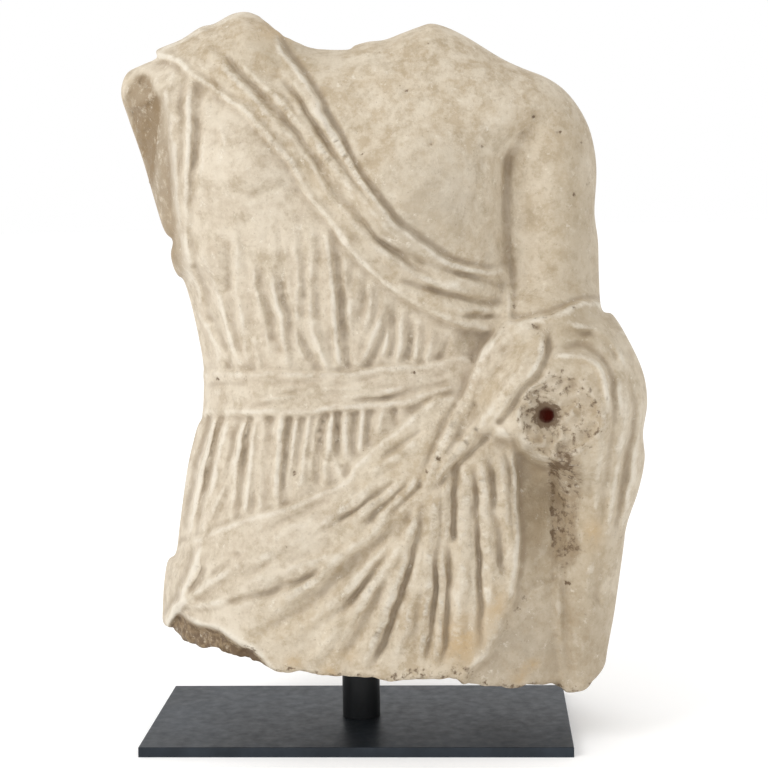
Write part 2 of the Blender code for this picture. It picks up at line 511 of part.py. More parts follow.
def back_folds():
    """The plainer carving of the back."""
    relief = Sheet()
    relief.area(GIRDLE_LOW + [(200, 324), (200, 366)] + GIRDLE_TOP[::-1], 4, 3)
    relief.area(back_strap(0) + back_strap(1)[::-1], 8, 4)
    relief.area(back_mantle() + [(300, -40), (-240, -40)], 7, 4)
    for ridge in range(4):
        share = 0.12 + 0.25 * ridge
        relief.fold(between(back_strap(0), back_strap(1), share), 3.4, 9, 0.03, 0.06)
        relief.fold(between(back_strap(0), back_strap(1), share + 0.125), -3.6, 6, 0.03, 0.06)
    relief.fold(beside(back_mantle(), -6), 4, 7, 0.02, 0.1)
    relief.fold(beside(back_mantle(), 5), -3.5, 6, 0.02, 0.1)
    for pleat in range(14):
        x = -172 + 24 * pleat
        lean = 0.10 * x + 5 * math.sin(2.4 * pleat)
        relief.fold(bowed(x - lean, 500 - 0.8 * x, x + 4, 356, 3), (-1) ** pleat * 3.2, 8)
        relief.fold(bowed(x + 4, 312, x + 2 * lean, 190 + 0.4 * x, -2), -((-1) ** pleat) * 3.6, 8)
        low = x * 1.08
        relief.fold(bowed(low + 50, 250 + 0.35 * x, low, 50, 4), (-1) ** pleat * 4.2, 10, 0.25, 0.05)
    return relief


def turning():
    """How wide a band inside the outline turns away to the side."""
    X, Z = Sheet.X, Sheet.Z
    band = 84 - 38 * smooth(60, 150, X)
    band += (44 - band) * smooth(560, 640, Z)
    broken_arm = smooth(430, 470, Z) * (1 - smooth(560, 640, Z)) * (1 - smooth(-150, -90, X))
    return Sheet(band - 34 * broken_arm)


def rough(x, y, z, size):
    """An uneven surface, between about -1 and 1, as a sum of crossed waves."""
    total = 0
    for turn, (a, b, c) in enumerate([(1, 0.3, 0.5), (-0.4, 1, 0.6), (0.5, -0.6, 1), (1.6, 1.1, -1.3)]):
        total = total + np.sin((a * x + b * y + c * z) * 6.28 / size + 1.7 * turn)
    return total / 4


class Figure:
    """The marble as a field: how far inside it a point lies, in drawing units."""

    def __init__(self):
        curve = through(OUTLINE, 2.0, closed=True)
        cells = np.stack([Sheet.X, Sheet.Z], -1).reshape(-1, 2)
        self.outline = Sheet(inside_distance(curve, cells).reshape(Sheet.X.shape))
        self.turn = turning()
        self.front = front_form()
        self.back = back_form()
        hem = evenly(through(HEM), 200)
        nearer = (-STATION[1] - self.front.read(hem[:, 0], hem[:, 1])) / -STATION[1]
        self.hem = STATION[[0, 2]] + (hem - STATION[[0, 2]]) * nearer[:, None]
        self.roughness = 0

    def carve(self):
        """From the smooth form to the carved and broken one."""
        self.front.a += front_folds().a
        self.back.a += back_folds().a
        self.roughness = 1

    def inside(self, p):
        x, y, z = p.T
        nearer = (y - STATION[1]) / -STATION[1]
        u = STATION[0] + (x - STATION[0]) / nearer
        v = STATION[2] + (z - STATION[2]) / nearer
        from_side = self.outline.read(u, v) * nearer
        facing = np.minimum(y + self.front.read(u, v), self.back.read(u, v) - y)
        turn = self.turn.read(u, v)
        body = rounded(from_side, facing, turn)
        level = np.interp(x, self.hem[:, 0], self.hem[:, 1])
        broken = self.roughness * (3 * rough(x, y, z, 55) + 1.2 * rough(x, y, z, 23))
        around_post = np.exp(-(((x**2 + y**2) / 45**2) ** 2))
        under = z - level - broken * (1 - around_post)
        under += (level - DRAWN_SEAT) * around_post
        neck = np.sqrt(((x + 22) / 64) ** 2 + ((y - 4) / 44) ** 2 + ((z - 684) / 30) ** 2)
        solid = rounded(body, under, EDGE_ROUND)
        return rounded(solid, (neck - 1) * 30 + self.roughness * rough(x, y, z, 23), 3)


def rounded(a, b, radius):
    """Inside both a and b, with a round edge where they meet."""
    corner = np.hypot(np.maximum(radius - a, 0), np.maximum(radius - b, 0))
    return np.maximum(radius, np.minimum(a, b)) - corner


def skin(figure, step):
    """A closed mesh of squares, a step wide, over the surface of a field."""
    axes = [np.arange(low, high, step) for low, high in zip(BLOCK_LOW, BLOCK_HIGH)]
    points = np.stack(np.meshgrid(*axes, indexing="ij"), -1)
    value = figure.inside(points.reshape(-1, 3)).reshape(points.shape[:3])
    cells = np.array(value.shape) - 1
    index = np.arange(cells.prod()).reshape(cells)
    total, count = np.zeros((cells.prod(), 3)), np.zeros(cells.prod())
    quads = []
    for axis in range(3):
        start = np.take(value, np.arange(cells[axis]), axis)
        end = np.take(value, np.arange(1, cells[axis] + 1), axis)
        crossing = (start > 0) != (end > 0)
        where = np.argwhere(crossing)
        crossed = where.astype(float)
        crossed[:, axis] += start[crossing] / (start[crossing] - end[crossing])
        corners = []
        for b, c in ((-1, -1), (0, -1), (0, 0), (-1, 0)):
            cell = where.copy()
            cell[:, (axis + 1) % 3] += b
            cell[:, (axis + 2) % 3] += c
            corner = index[tuple(cell.T)]
            np.add.at(total, corner, crossed)
            np.add.at(count, corner, 1)
            corners.append(corner)
        quad = np.stack(corners, 1)
        quads.append(np.where(start[crossing][:, None] > 0, quad, quad[:, ::-1]))
    used, faces = np.unique(np.vstack(quads), return_inverse=True)
    return BLOCK_LOW + step * total[used] / count[used][:, None], faces.reshape(-1, 4)


def split(points, faces):
    """Each square becomes four."""
    sides = np.stack([faces, np.roll(faces, -1, axis=1)], -1).reshape(-1, 2)
    sides.sort(axis=1)
    unique, which = np.unique(sides, axis=0, return_inverse=True)
    mid = which.reshape(-1, 4) + len(points)
    centre = np.arange(len(faces)) + len(points) + len(unique)
    made = np.vstack([points, points[unique].mean(1), points[faces].mean(1)])
    parts = [np.stack([faces[:, i], mid[:, i], centre, mid[:, i - 1]], 1) for i in range(4)]
    return made, np.stack(parts, 1).reshape(-1, 4)


def settle(figure, points, rounds):
    """Move points on to the surface of a field."""
    h = 0.5
    for _ in range(rounds):
        value = figure.inside(points)
        slope = np.stack([(figure.inside(points + h * axis) - value) / h for axis in np.eye(3)], 1)
        step = slope * (value / np.maximum((slope**2).sum(1), 0.3))[:, None]
        length = np.linalg.norm(step, axis=1)[:, None]
        points = points - step * np.minimum(1, 4 / np.maximum(length, 1e-6))
    return points


def relax(points, faces, amount):
    """Even out the mesh: each point moves towards the middle of its neighbours."""
    total, count = np.zeros_like(points), np.zeros(len(points))
    for a, b in ((0, 1), (1, 2), (2, 3), (3, 0)):
        for p, q in ((a, b), (b, a)):
            np.add.at(total, faces[:, p], points[faces[:, q]])
            np.add.at(count, faces[:, p], 1)
    return points + amount * (total / count[:, None] - points)


def figure_mesh(step, splits):
    """The carved figure's points and squares, in drawing units."""
    figure = Figure()
    points, faces = skin(figure, step)
    for _ in range(3):
        points = settle(figure, relax(points, faces, 0.5), 2)
    figure.carve()
    for _ in range(splits):
        points, faces = split(points, faces)
        for _ in range(3):
            points = settle(figure, relax(points, faces, 0.5), 2)
    return points, faces


def seat_height():
    """The height of the marble's underside where the post enters it."""
    return PLATE_THICKNESS + POST_RISE


def to_world(points):
    """From the drawing to metres, with the figure on its post."""
    return (points - [0, 0, DRAWN_SEAT]) * UNIT + [0, 0, seat_height()]


def material(name, colour, roughness, metallic):
    made = bpy.data.materials.new(name)
    made.use_nodes = True
    shader = made.node_tree.nodes["Principled BSDF"]
    shader.inputs["Base Color"].default_value = colour
    shader.inputs["Roughness"].default_value = roughness
    shader.inputs["Metallic"].default_value = metallic
    made.diffuse_color = colour
    return made


def add_object(name, mesh, finish=None):
    made = bpy.data.objects.new(name, mesh)
    bpy.context.scene.collection.objects.link(made)
    if finish:
        mesh.materials.append(finish)
    return made


def mesh_from(name, points, faces):
    mesh = bpy.data.meshes.new(name)
    mesh.from_pydata(points.tolist(), [], faces.tolist())
    mesh.update()
    return mesh


def thinned(mesh, triangles):
    """The same skin with fewer triangles, and more of them where it bends."""
    whole = add_object("whole_skin", mesh)
    thin = whole.modifiers.new("Fewer facets", "DECIMATE")
    thin.ratio = triangles / (2 * len(mesh.polygons))
    shape = bmesh.new()
    shape.from_object(whole, bpy.context.evaluated_depsgraph_get())
    bpy.data.objects.remove(whole)
    bmesh.ops.triangulate(shape, faces=shape.faces)
    for _ in range(UNTANGLE_ROUNDS):
        tangled = crossing_points(shape)
        if not tangled:
            break
        around = {edge.other_vert(point) for point in tangled for edge in point.link_edges}
        bmesh.ops.smooth_vert(shape, verts=list(tangled | around), factor=0.5,
                              use_axis_x=True, use_axis_y=True, use_axis_z=True)
    shape.to_mesh(mesh)
    shape.free()
    return mesh


def crossing_points(shape):
    """The corners of the triangles that pass through others or fold flat on to a neighbour."""
    shape.faces.ensure_lookup_table()
    tree = BVHTree.FromBMesh(shape)
    found = set()
    for a, b in tree.overlap(tree):
        first, second = set(shape.faces[a].verts), set(shape.faces[b].verts)
        if not first & second:
            found |= first | second
    for edge in shape.edges:
        if edge.calc_face_angle(0) > FOLD_LIMIT:
            found |= {point for face in edge.link_faces for point in face.verts}
    return found


def cylinder(name, diameter, low, high, sides=POST_SIDES):
    mesh = bpy.data.meshes.new(name)
    shape = bmesh.new()
    place = Matrix.Translation(Vector((0, 0, (low + high) / 2)))
    bmesh.ops.create_cone(shape, cap_ends=True, segments=sides, radius1=diameter / 2,
                          radius2=diameter / 2, depth=high - low, matrix=place)
    shape.to_mesh(mesh)
    shape.free()
    return mesh


def plate_mesh():
    mesh = bpy.data.meshes.new("base_plate")
    shape = bmesh.new()
    bmesh.ops.create_cube(shape, size=1.0)
    bmesh.ops.scale(shape, vec=(PLATE_WIDTH, PLATE_DEPTH, PLATE_THICKNESS), verts=shape.verts)
    bmesh.ops.translate(shape, vec=(0, 0, PLATE_THICKNESS / 2), verts=shape.verts)
    top = [edge for edge in shape.edges if max(v.co.z for v in edge.verts) > PLATE_THICKNESS / 2]
    bmesh.ops.bevel(shape, geom=top, offset=PLATE_BEVEL, segments=2, affect="EDGES", profile=0.5)
    shape.to_mesh(mesh)
    shape.free()
    return mesh


def build():
    for old in list(bpy.data.objects):
        bpy.data.objects.remove(old, do_unlink=True)

    marble = material("marble", MARBLE_COLOUR, 0.62, 0.0)
    plate_steel = material("plate_steel", STEEL_COLOUR, 0.42, 0.6)
    post_steel = material("post_steel", STEEL_COLOUR, 0.38, 0.6)

    add_object("base_plate", plate_mesh(), plate_steel)
    socket_top = seat_height() + SOCKET_DEPTH
    post = cylinder("support_post", POST_DIAMETER, PLATE_THICKNESS + SEAM, socket_top - SEAM)
    add_object("support_post", post, post_steel)

    points, faces = figure_mesh(BLOCK_STEP, 1)
    skin_mesh = thinned(mesh_from("marble_torso", to_world(points), faces), TRIANGLES)
    torso = add_object("marble_torso", skin_mesh, marble)
    bore = cylinder("socket_cutter", POST_DIAMETER + 2 * SOCKET_CLEARANCE,
                    seat_height() - SOCKET_DEPTH, socket_top)
    cutter = add_object("socket_cutter", bore)
    cutter.display_type = "WIRE"
    cutter.hide_render = True
    socket = torso.modifiers.new("Post socket", "BOOLEAN")
    socket.operation = "DIFFERENCE"
    socket.solver = "EXACT"
    socket.object = cutter


build()
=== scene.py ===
"""The looks of the broken marble goddess: the carved surface, its stone, the steel and the studio.

The marble is drawn as in the part's own source: an elevation in drawing units of one millimetre, x
across and z up from the floor, seen from STATION. A drawn point stands for the line from STATION
through that point of the plane y = 0. Left and right are the viewer's.
"""

import math

import bmesh
import bpy
import numpy as np
from mathutils import Matrix, Vector


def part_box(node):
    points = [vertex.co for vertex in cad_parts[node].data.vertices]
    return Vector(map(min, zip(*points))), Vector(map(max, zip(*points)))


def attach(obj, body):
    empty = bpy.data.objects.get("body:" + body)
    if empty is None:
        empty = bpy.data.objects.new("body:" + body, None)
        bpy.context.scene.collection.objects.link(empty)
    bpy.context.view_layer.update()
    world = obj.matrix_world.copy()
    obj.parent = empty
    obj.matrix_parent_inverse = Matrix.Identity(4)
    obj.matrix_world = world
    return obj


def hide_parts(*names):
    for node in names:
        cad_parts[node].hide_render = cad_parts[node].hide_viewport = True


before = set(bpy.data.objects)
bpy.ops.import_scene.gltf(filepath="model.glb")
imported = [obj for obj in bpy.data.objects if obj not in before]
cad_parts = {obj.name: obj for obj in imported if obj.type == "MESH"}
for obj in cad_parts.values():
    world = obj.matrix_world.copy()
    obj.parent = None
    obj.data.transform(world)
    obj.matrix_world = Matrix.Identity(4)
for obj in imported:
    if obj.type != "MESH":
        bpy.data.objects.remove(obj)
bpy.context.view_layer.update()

UNIT = 0.001  # one drawing unit, in metres
DRAWN_SEAT = 75.5  # the underside's height where the post enters
SOCKET_DEPTH = 30.0
SOCKET_CLEARANCE = 1.2
STATION = np.array([116.0, -1629.0, 515.0])
SHEET_LOW = (-262.0, -44.0)
SHEET_HIGH = (322.0, 740.0)
BLOCK_LOW = np.array([-262.0, -192.0, 14.0])
BLOCK_HIGH = np.array([322.0, 158.0, 740.0])
BLOCK_STEP = 5.6
EDGE_ROUND = 5.0  # round the broken underside
TRIANGLES = 196000
DENTS = 420  # in the weathered face
FIRST_REACH = 4.0  # how far a point of the mesh may move at a time, and how far after the last split
LAST_REACH = 1.5
POST_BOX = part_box("support_post")
SOCKET_RADIUS = 0.5 * (POST_BOX[1][0] - POST_BOX[0][0]) / UNIT + SOCKET_CLEARANCE

# Where the stone's colour changes, and where shade is painted: x, z, half width, half height, amount
OCHRE_PLACES = [(-62, 676, 26, 9, 0.8), (100, 84, 22, 28, 1.0), (134, 118, 12, 20, 0.8),
                (229, 190, 10, 14, 0.9), (-66, 62, 9, 8, 0.9), (-30, 53, 8, 6, 0.9),
                (-12, 70, 9, 9, 0.6), (-178, 470, 8, 40, 0.8)]
SOIL_PLACES = [(58, 52, 36, 7, 0.42), (104, 50, 14, 10, 0.25), (-112, 74, 12, 8, 0.5),
               (262, 190, 12, 16, 0.3)]
GREY_PLACES = [(70, 505, 50, 60, 0.7), (165, 75, 60, 40, 0.9), (20, 420, 40, 60, 0.3)]
# SHADE_PLACES are painted shade: the arm, sleeve and tail on the right, away from the light, the neck's slope
# and the recess below the stump
SHADE_PLACES = [(215, 500, 28, 110, 0.5), (-60, 660, 40, 26, 0.5), (215, 385, 50, 30, 0.4),
                (222, 150, 40, 130, 0.45), (172, 220, 16, 60, 0.7)]
CREAM = (0.56, 0.465, 0.335)
WARM = (0.45, 0.355, 0.235)
TUNIC = (0.56, 0.475, 0.365)
PALE = (0.71, 0.63, 0.505)
# Chalky white: worn crests with a painted highlight, and the stone's pale flecks
CHALK_AND_HIGHLIGHT = (0.80, 0.74, 0.63)
GREY = (0.44, 0.375, 0.285)
SHADE = (0.36, 0.28, 0.175)
OCHRE = (0.50, 0.36, 0.20)
# Dark brown: dirt and painted shade in the hollows and creases, and the stone's dark flecks
DIRT_AND_SHADE = (0.24, 0.17, 0.105)
BREAK = (0.25, 0.175, 0.095)
# Dark soil brown, also used for the painted shade of the dark lines
SOIL_AND_SHADE_BROWN = (0.125, 0.075, 0.036)
RUST = (0.035, 0.005, 0.003)

FLOOR_RADIUS = 30.0
FLOOR_GLOW = 0.14  # so that the floor is as white as the room behind it
WORLD_STRENGTH = 1.0
AIM = Vector((0.0, 0.0, 0.35))
LIGHTS = [("key", (-1.9, -1.7, 1.9), 1.2, 30)]

# The camera, from the four corners of the plate in the photo
EYE = Vector((0.116, -1.629, 0.515))
YAW = math.radians(-3.1)  # to the left of +Y
PITCH = math.radians(-6.2)
ROLL = math.radians(1.0)
LENS = 79.58
SENSOR = 36.0


# The marble's outline, from the broken arm on the left over the shoulders and down the right side
OUTLINE = [
    (-219, 618), (-217, 632), (-211, 641), (-198, 647), (-184, 653), (-184, 660), (-176, 664),
    (-160, 670), (-141, 681), (-128, 684), (-112, 692), (-100, 694.5), (-90, 692.5), (-72, 683),
    (-48, 666), (-32, 659), (-2, 657), (6, 661), (18, 664), (34, 665.5), (50, 671), (66, 676.5),
    (78, 679.5), (92, 676), (112, 666), (142, 647), (162, 637), (186, 627), (204, 614),
    (219, 594), (229, 570), (233.5, 540), (231, 500), (234.5, 470), (236.5, 411), (248, 402),
    (261, 381), (276, 348), (280.5, 318), (276.5, 288), (278, 262), (272, 232), (261, 199),
    (257, 172), (249, 115), (239, 52), (238, -30), (-196, -30), (-196, 96), (-190, 160),
    (-180, 174), (-175, 204), (-166, 260), (-157, 296), (-150, 314), (-150, 360), (-157, 405),
    (-165, 439), (-171, 445), (-176, 465), (-174, 480), (-183, 493), (-200, 556), (-213, 597),
]
# The broken lower edge, left to right
HEM = [(-230, 90), (-196, 82), (-186, 77), (-156, 73), (-130, 66), (-100, 59), (-59, 52.5),
       (-16, 48), (20, 45.5), (88, 47), (95, 46), (102, 40), (121, 36), (150, 34), (192, 35.5),
       (204, 31.5), (221, 32), (236, 41), (260, 62)]

# The edges of the cloths
STRAP_LOW = [(-190, 657), (-167, 650), (-152, 635), (-124, 616), (-106, 603), (-82, 576), (-61, 552),
             (-46, 524), (-29, 503), (0, 462), (32, 432), (70, 406), (105, 393), (148, 391)]
STRAP_HIGH = [(-84, 700), (-61, 658), (-38, 627), (-22, 595), (-6, 565), (10, 537), (29, 510),
              (50, 487), (76, 468), (99, 453), (125, 447), (149, 446)]
GIRDLE_TOP = [(-170, 350), (-17, 350), (24, 355), (63, 357.5), (112, 362)]
GIRDLE_LOW = [(-170, 314), (-119, 310), (-62, 308.5), (0, 313.5), (50, 317), (104, 324)]
MANTLE_EDGE = [(-205, 170), (-179, 180), (-150, 191), (-119, 204), (-70, 220), (-40, 231.5),
               (-14, 244.5), (0, 264), (24, 283), (60, 312), (84, 326)]
MANTLE_SIDE = [(118, 318), (136, 300), (152, 280), (154, 240), (157, 186), (154, 150), (150, 100), (150, -40)]
ROLL_HIGH = [(150, 396), (134, 382), (121, 366), (105, 327), (87, 295), (74, 264), (64, 246)]
ROLL_LOW = [(180, 388), (183, 372), (178, 353), (158, 331), (139, 304), (115, 280), (94, 259), (68, 236)]
SLEEVE_EDGE = [(130, 386), (147, 395.5), (171, 400), (190, 402), (213, 413), (226, 415), (250, 409)]
TORSO_SIDE = [(40, 236), (200, 236), (262, 212), (300, 184), (340, 168), (400, 159), (440, 157),
              (500, 158), (550, 164), (575, 186), (600, 232), (640, 262)]  # half the width, by height
BACK_SIDE = [(40, 200), (200, 196), (280, 188), (340, 168), (400, 158), (440, 156), (500, 157),
             (550, 162), (575, 186), (600, 232), (640, 262)]
ARM_DEPTH = [(400, 58), (560, 56)]  # from y = 0 to the upper arm's front, by height
FALL_DEPTH = [(40, 86), (200, 92), (330, 98), (400, 84)]
FALL_BEHIND = [(40, 62), (400, 64)]
STUMP = (197, 306)
STUMP_RADIUS = 44.0
STUMP_FRONT = 124.0
DOWEL_HOLE = (184, 306)
DOWEL_RADIUS = 6.5
DOWEL_DEPTH = 18.0

# Straight folds: x and z of the two ends, how far the middle bows to the left of the way from the
# first end to the second, the rise (below 0 it is a groove) and half the width
BODICE_FOLDS = [
    (-163, 510, -140, 400, 1, -5, 7), (-148, 497, -109, 356, -3, 5, 6),
    (-164, 485, -120, 362, -5, 4, 5), (-152, 430, -119, 352, 2, -5, 6),
    (-158, 430, -116, 354, -4, 4, 4), (-122, 500, -119, 430, 0, -3.5, 6),
    (-113, 430, -104, 360, 0, 4, 5), (-100, 398, -94, 352, 2, 4, 5),
    (-103, 490, -78, 380, 2, -4.5, 7), (-79, 470, -41, 362, -5, -5, 7),
    (-62, 490, -57, 430, 0, -3, 6), (-50, 505, -48, 420, 0, -3.4, 7),
    (-29, 505, -38, 400, -1, -4.2, 7), (-19, 505, -7, 352, 1, -7, 7), (-27, 500, -16, 352, 1, 4, 5),
    (-24, 410, -13, 350, -4, -4, 5), (-51, 384, -35, 352, 0, -4, 6), (-45, 400, -25, 352, 0, 4, 5),
    (33, 432, 3, 355, 3, 5, 5), (42, 428, 12, 354, 3, -5, 6), (20, 445, -2, 356, 2, 3.5, 5),
    (41, 412, 34, 362, 0, -4.4, 6), (60, 402, 50, 362, 0, -4.6, 6), (50, 410, 40, 358, 0, 4, 5),
    (94, 386, 80, 360, 0, -4.6, 6), (14, 460, 6, 370, 0, -3.4, 6), (78, 392, 68, 360, 0, 4, 6),
    (2, 470, -3, 420, 0, -3, 6), (-70, 505, -66, 430, 0, -2.8, 6), (-74, 400, -66, 354, 2, 4, 6),
]
SKIRT_FOLDS = [
    (-141, 312, -172, 180, -5, -6, 7), (-136, 312, -168, 180, 0, 5, 5),
    (-130, 310, -164, 180, -1, -5, 6), (-120, 310, -140, 250, 0, -5, 7),
    (-119, 310, -158, 184, -3, 5, 5), (-109, 310, -132, 236, -1, -5, 6),
    (-106, 306, -156, 188, 3, 5, 5), (-102, 310, -118, 200, -2, -6, 7),
    (-99, 310, -111, 203, -1, 5, 5), (-94, 304, -102, 206, 0, -4, 7),
    (-84, 310, -90, 212, 0, -3.5, 8), (-64, 310, -74, 230, 0, -4.6, 6), (-72, 310, -82, 216, 0, 3.4, 6),
    (-52, 308, -66, 226, 0, -4, 6), (-41, 311, -46, 262, 0, -4.6, 6), (-46, 308, -55, 232, 0, 3.4, 5),
    (-27, 311, -41, 232, -4, -7, 6), (-17, 312, -22, 262, 0, -4.6, 6), (-22, 310, -32, 240, -2, 4, 5),
    (0, 313, -5, 264, 0, -5, 6), (13, 314, 8, 274, 0, -5, 6), (38, 316, 36, 296, 0, -4, 5),
    (-9, 310, -14, 256, 0, 3.6, 6), (7, 313, 2, 270, 0, 3.6, 5), (25, 314, 22, 286, 0, 3.6, 5),
]
GIRDLE_FOLDS = [
    (-8, 320, 97, 342, -3, -4, 5), (20, 322, 97, 350, 0, -3.6, 5), (50, 317, 104, 332, 0, -3.6, 5),
    (-103, 325, 8, 340, 0, -3.2, 4), (-103, 318, 2, 330, 2, -3, 4), (-8, 326, 96, 346, -3, 3, 4),
    (-148, 338, -100, 339, 0, -3.2, 4), (-160, 331, -60, 329, 0, 2, 8), (-100, 322, 6, 335, 1, 2.4, 4),
    (44, 318, 100, 337, 0, 3, 4), (-60, 346, 60, 352, 0, 1.6, 5),
]
MANTLE_FOLDS = [
    (-156, 186, -190, 106, 6, 11, 7), (-122, 158, -184, 112, -3, 8, 7), (-126, 124, -174, 119, 0, 6, 5),
    (-148, 164, -176, 124, 0, -5, 7), (-112, 176, -150, 146, 0, -3, 9),
    (-142, 120, -26, 157, -3, -6, 6), (-120, 137, -14, 172, 2, 5.5, 10),
    (66, 230, -116, 78, 9, -7, 14), (10, 194, -88, 118, 4, 4, 9),
    (50, 205, -70, 84, 5, 5.5, 9), (62, 224, -26, 106, 4, -6, 8), (58, 208, -58, 56, 6, 5, 11),
    (-24, 203, 44, 250, -2, -5, 6), (4, 200, 52, 244, -2, -4.5, 6), (28, 208, 70, 252, -2, -5, 6),
    (-14, 202, 48, 247, -2, 4.5, 6), (14, 202, 62, 250, -2, 4.5, 6), (-52, 190, 14, 236, -2, 4.5, 7),
    (-100, 192, -20, 228, 0, -4, 8), (-108, 160, -44, 192, 0, 4.5, 9), (20, 262, 66, 296, 0, -4, 5),
    (12, 250, 60, 284, 0, 4, 6),
]
LOWER_FOLDS = [
    (67, 236, 6, 50, 8, -8.5, 7), (62, 214, -4, 54, 8, 5.5, 8), (74, 220, 26, 56, 9, 5, 7),
    (76, 236, 74, 190, 0, 5.5, 5), (69, 178, 60, 60, 2, 6.5, 6), (74, 168, 60, 56, 5, -6, 5),
    (80, 160, 73, 56, 4, 6, 5), (85, 196, 79, 58, 4, -7.5, 6), (88, 245, 86, 196, 0, 5, 5),
    (98, 264, 93, 176, -3, -8.5, 6), (106, 262, 103, 120, 0, 6.5, 7), (113, 262, 117, 66, 3, -8, 6),
    (122, 268, 126, 110, 0, 6.5, 7), (130, 272, 142, 140, -2, -7.5, 6), (141, 272, 148, 160, 0, 6, 5),
    (147, 268, 151, 190, 0, -5, 4), (152, 268, 156, 150, 0, 6.5, 4),
    (38, 190, 18, 100, 3, 4, 9), (26, 150, -24, 58, 3, -3.6, 9), (98, 170, 96, 62, 0, 4.5, 8),
]
SIDE_FOLDS = [
    (-164, 645, -178, 596, -3, 3.5, 7), (-158, 640, -172, 566, 3, -4, 6),
    (-152, 642, -162, 450, -3, 6.5, 6), (-159, 600, -166, 450, 0, -3.5, 4), (-172, 596, -166, 440, 0, 5.5, 5),
    (-142, 636, -151, 540, 0, -4, 7),
    (-98, 680, -94, 653, 0, -4, 5),
]
# Curved folds, through their points: rise, half width
STRAP_FOLDS = [
    ([(-143, 673), (-124, 648), (-90, 613), (-62, 582), (-50, 569)], 4.5, 8),
    ([(-127, 667), (-105, 639), (-89, 621), (-74, 602), (-56, 583), (-40, 560)], -6, 7),
    ([(-137, 679), (-103, 642), (-70, 613), (-46, 585), (-14, 544), (6, 518), (32, 490), (62, 468)], 4.5, 7),
    ([(-84, 650), (-56, 620), (-36, 592), (-20, 566), (0, 536), (22, 508)], -4.6, 7),
    ([(-62, 637), (-38, 608), (-20, 577), (-9, 561), (12, 530), (30, 508)], 4, 6),
    ([(-60, 584), (-38, 560), (-18, 528), (4, 500), (28, 474), (60, 450), (98, 437)], -5, 7),
    ([(-30, 544), (-10, 512), (14, 482), (44, 455), (78, 438), (112, 427), (150, 426)], 4, 7),
    ([(8, 490), (21, 478), (44, 466), (73, 454), (104, 443), (150, 439)], -4.6, 5),
    ([(40, 441), (70, 430), (99, 422), (121, 416), (148, 416)], -6.5, 5),
    ([(95, 446), (117, 438), (148, 431)], -5.5, 5),
    ([(104, 405), (129, 401), (148, 403)], -4.6, 4),
    ([(58, 425), (98, 410), (128, 407), (152, 412)], 3.4, 5),
    ([(-150, 644), (-127, 626), (-111, 615), (-100, 606)], -4, 5),
    ([(-186, 657), (-167, 650), (-158, 643), (-155, 636)], 5, 6),
]
SLEEVE_FOLDS = [
    ([(190, 369), (206, 373), (224, 372), (238, 359), (247, 341), (250, 318), (247, 290)], -5.5, 6),
    ([(184, 362), (204, 364), (220, 361), (234, 350), (242, 330), (244, 306)], 5, 6),
    ([(196, 392), (222, 390), (240, 379), (254, 362), (262, 340)], 5.5, 7),
    ([(214, 380), (230, 384), (246, 370), (256, 350)], -4.5, 5),
    ([(258, 354), (269, 322), (266, 288), (259, 250), (247, 170)], -5, 7),
    ([(250, 346), (258, 318), (256, 282), (248, 236), (240, 170)], 4.5, 8),
    ([(240, 352), (249, 322), (247, 290), (240, 250)], -4, 5),
    ([(270, 344), (276, 318), (272, 282), (266, 244), (256, 190)], 4, 8),
    ([(234, 300), (234, 250), (228, 196)], 3.5, 8),
    ([(189, 268), (190, 200), (191, 150), (192, 100), (193, 40)], -6, 5),
    ([(200, 262), (201, 200), (202, 130), (203, 50)], 4, 6),
    ([(226, 180), (222, 120), (216, 50)], 3, 9),
    ([(238, 176), (232, 120), (226, 60)], -3, 7),
    ([(180, 356), (184, 376), (175, 391)], -6, 4),
]
# The clefts between the body and its arm, and the bare breast's crease
BODY_FOLDS = [
    ([(152, 578), (149, 545), (148, 500), (149, 462), (152, 432), (155, 402)], -4.5, 7),
    ([(124, 566), (124, 550), (120, 528), (113, 503)], -2.5, 6),
    ([(124, 625), (137, 616), (150, 611), (178, 607), (184, 602)], -1.5, 3),
    ([(-150, 534), (-125, 524), (-98, 521), (-70, 530)], -2.5, 10),
    ([(-127, 600), (-124, 584), (-119, 566)], 2, 6),
]
# Finer folds side by side between two lines, the first with the cloth on its left: the lines, how
# many, the rise, half the width, and the shares over which they fade in and out
CHITON_PLEATS = [
    ([(-166, 530), (-152, 430), (-132, 352)], [(80, 410), (72, 385), (66, 357)], 26, 2.6, 5.5, 0.35, 0.02),
    ([(-146, 312), (-160, 240), (-180, 178)], [(60, 318), (56, 312), (50, 300)], 24, 2.6, 5.5, 0.02, 0.15),
    ([(-168, 640), (-172, 560), (-166, 460)], [(-120, 612), (-132, 560), (-146, 480)], 6, 2.6, 5, 0.1, 0.4),
]
STRAP_PLEATS = [(STRAP_LOW, STRAP_HIGH, 13, 2.4, 5.5, 0.1, 0.05)]
GIRDLE_PLEATS = [(GIRDLE_LOW, GIRDLE_TOP, 7, 1.6, 4, 0.1, 0.05)]
MANTLE_PLEATS = [
    ([(44, 262), (-40, 206), (-190, 150)], [(56, 236), (-20, 146), (-96, 62)], 14, 4.2, 9, 0.1, 0.3),
    ([(52, 230), (-10, 140), (-70, 52)], [(80, 236), (78, 140), (76, 46)], 10, 3, 7, 0.1, 0.2),
    ([(84, 250), (82, 160), (80, 50)], [(152, 270), (155, 200), (150, 130)], 9, 2.6, 5.5, 0.05, 0.4),
]
SLEEVE_PLEATS = [
    ([(182, 360), (204, 362), (228, 352), (242, 330), (246, 300), (240, 250), (232, 200)],
     [(180, 398), (214, 408), (240, 398), (260, 372), (276, 320), (274, 250), (262, 200)],
     8, 2.2, 7, 0.2, 0.3),
    ([(200, 190), (200, 45)], [(256, 200), (238, 45)], 6, 1.6, 9, 0.4, 0.3),
]
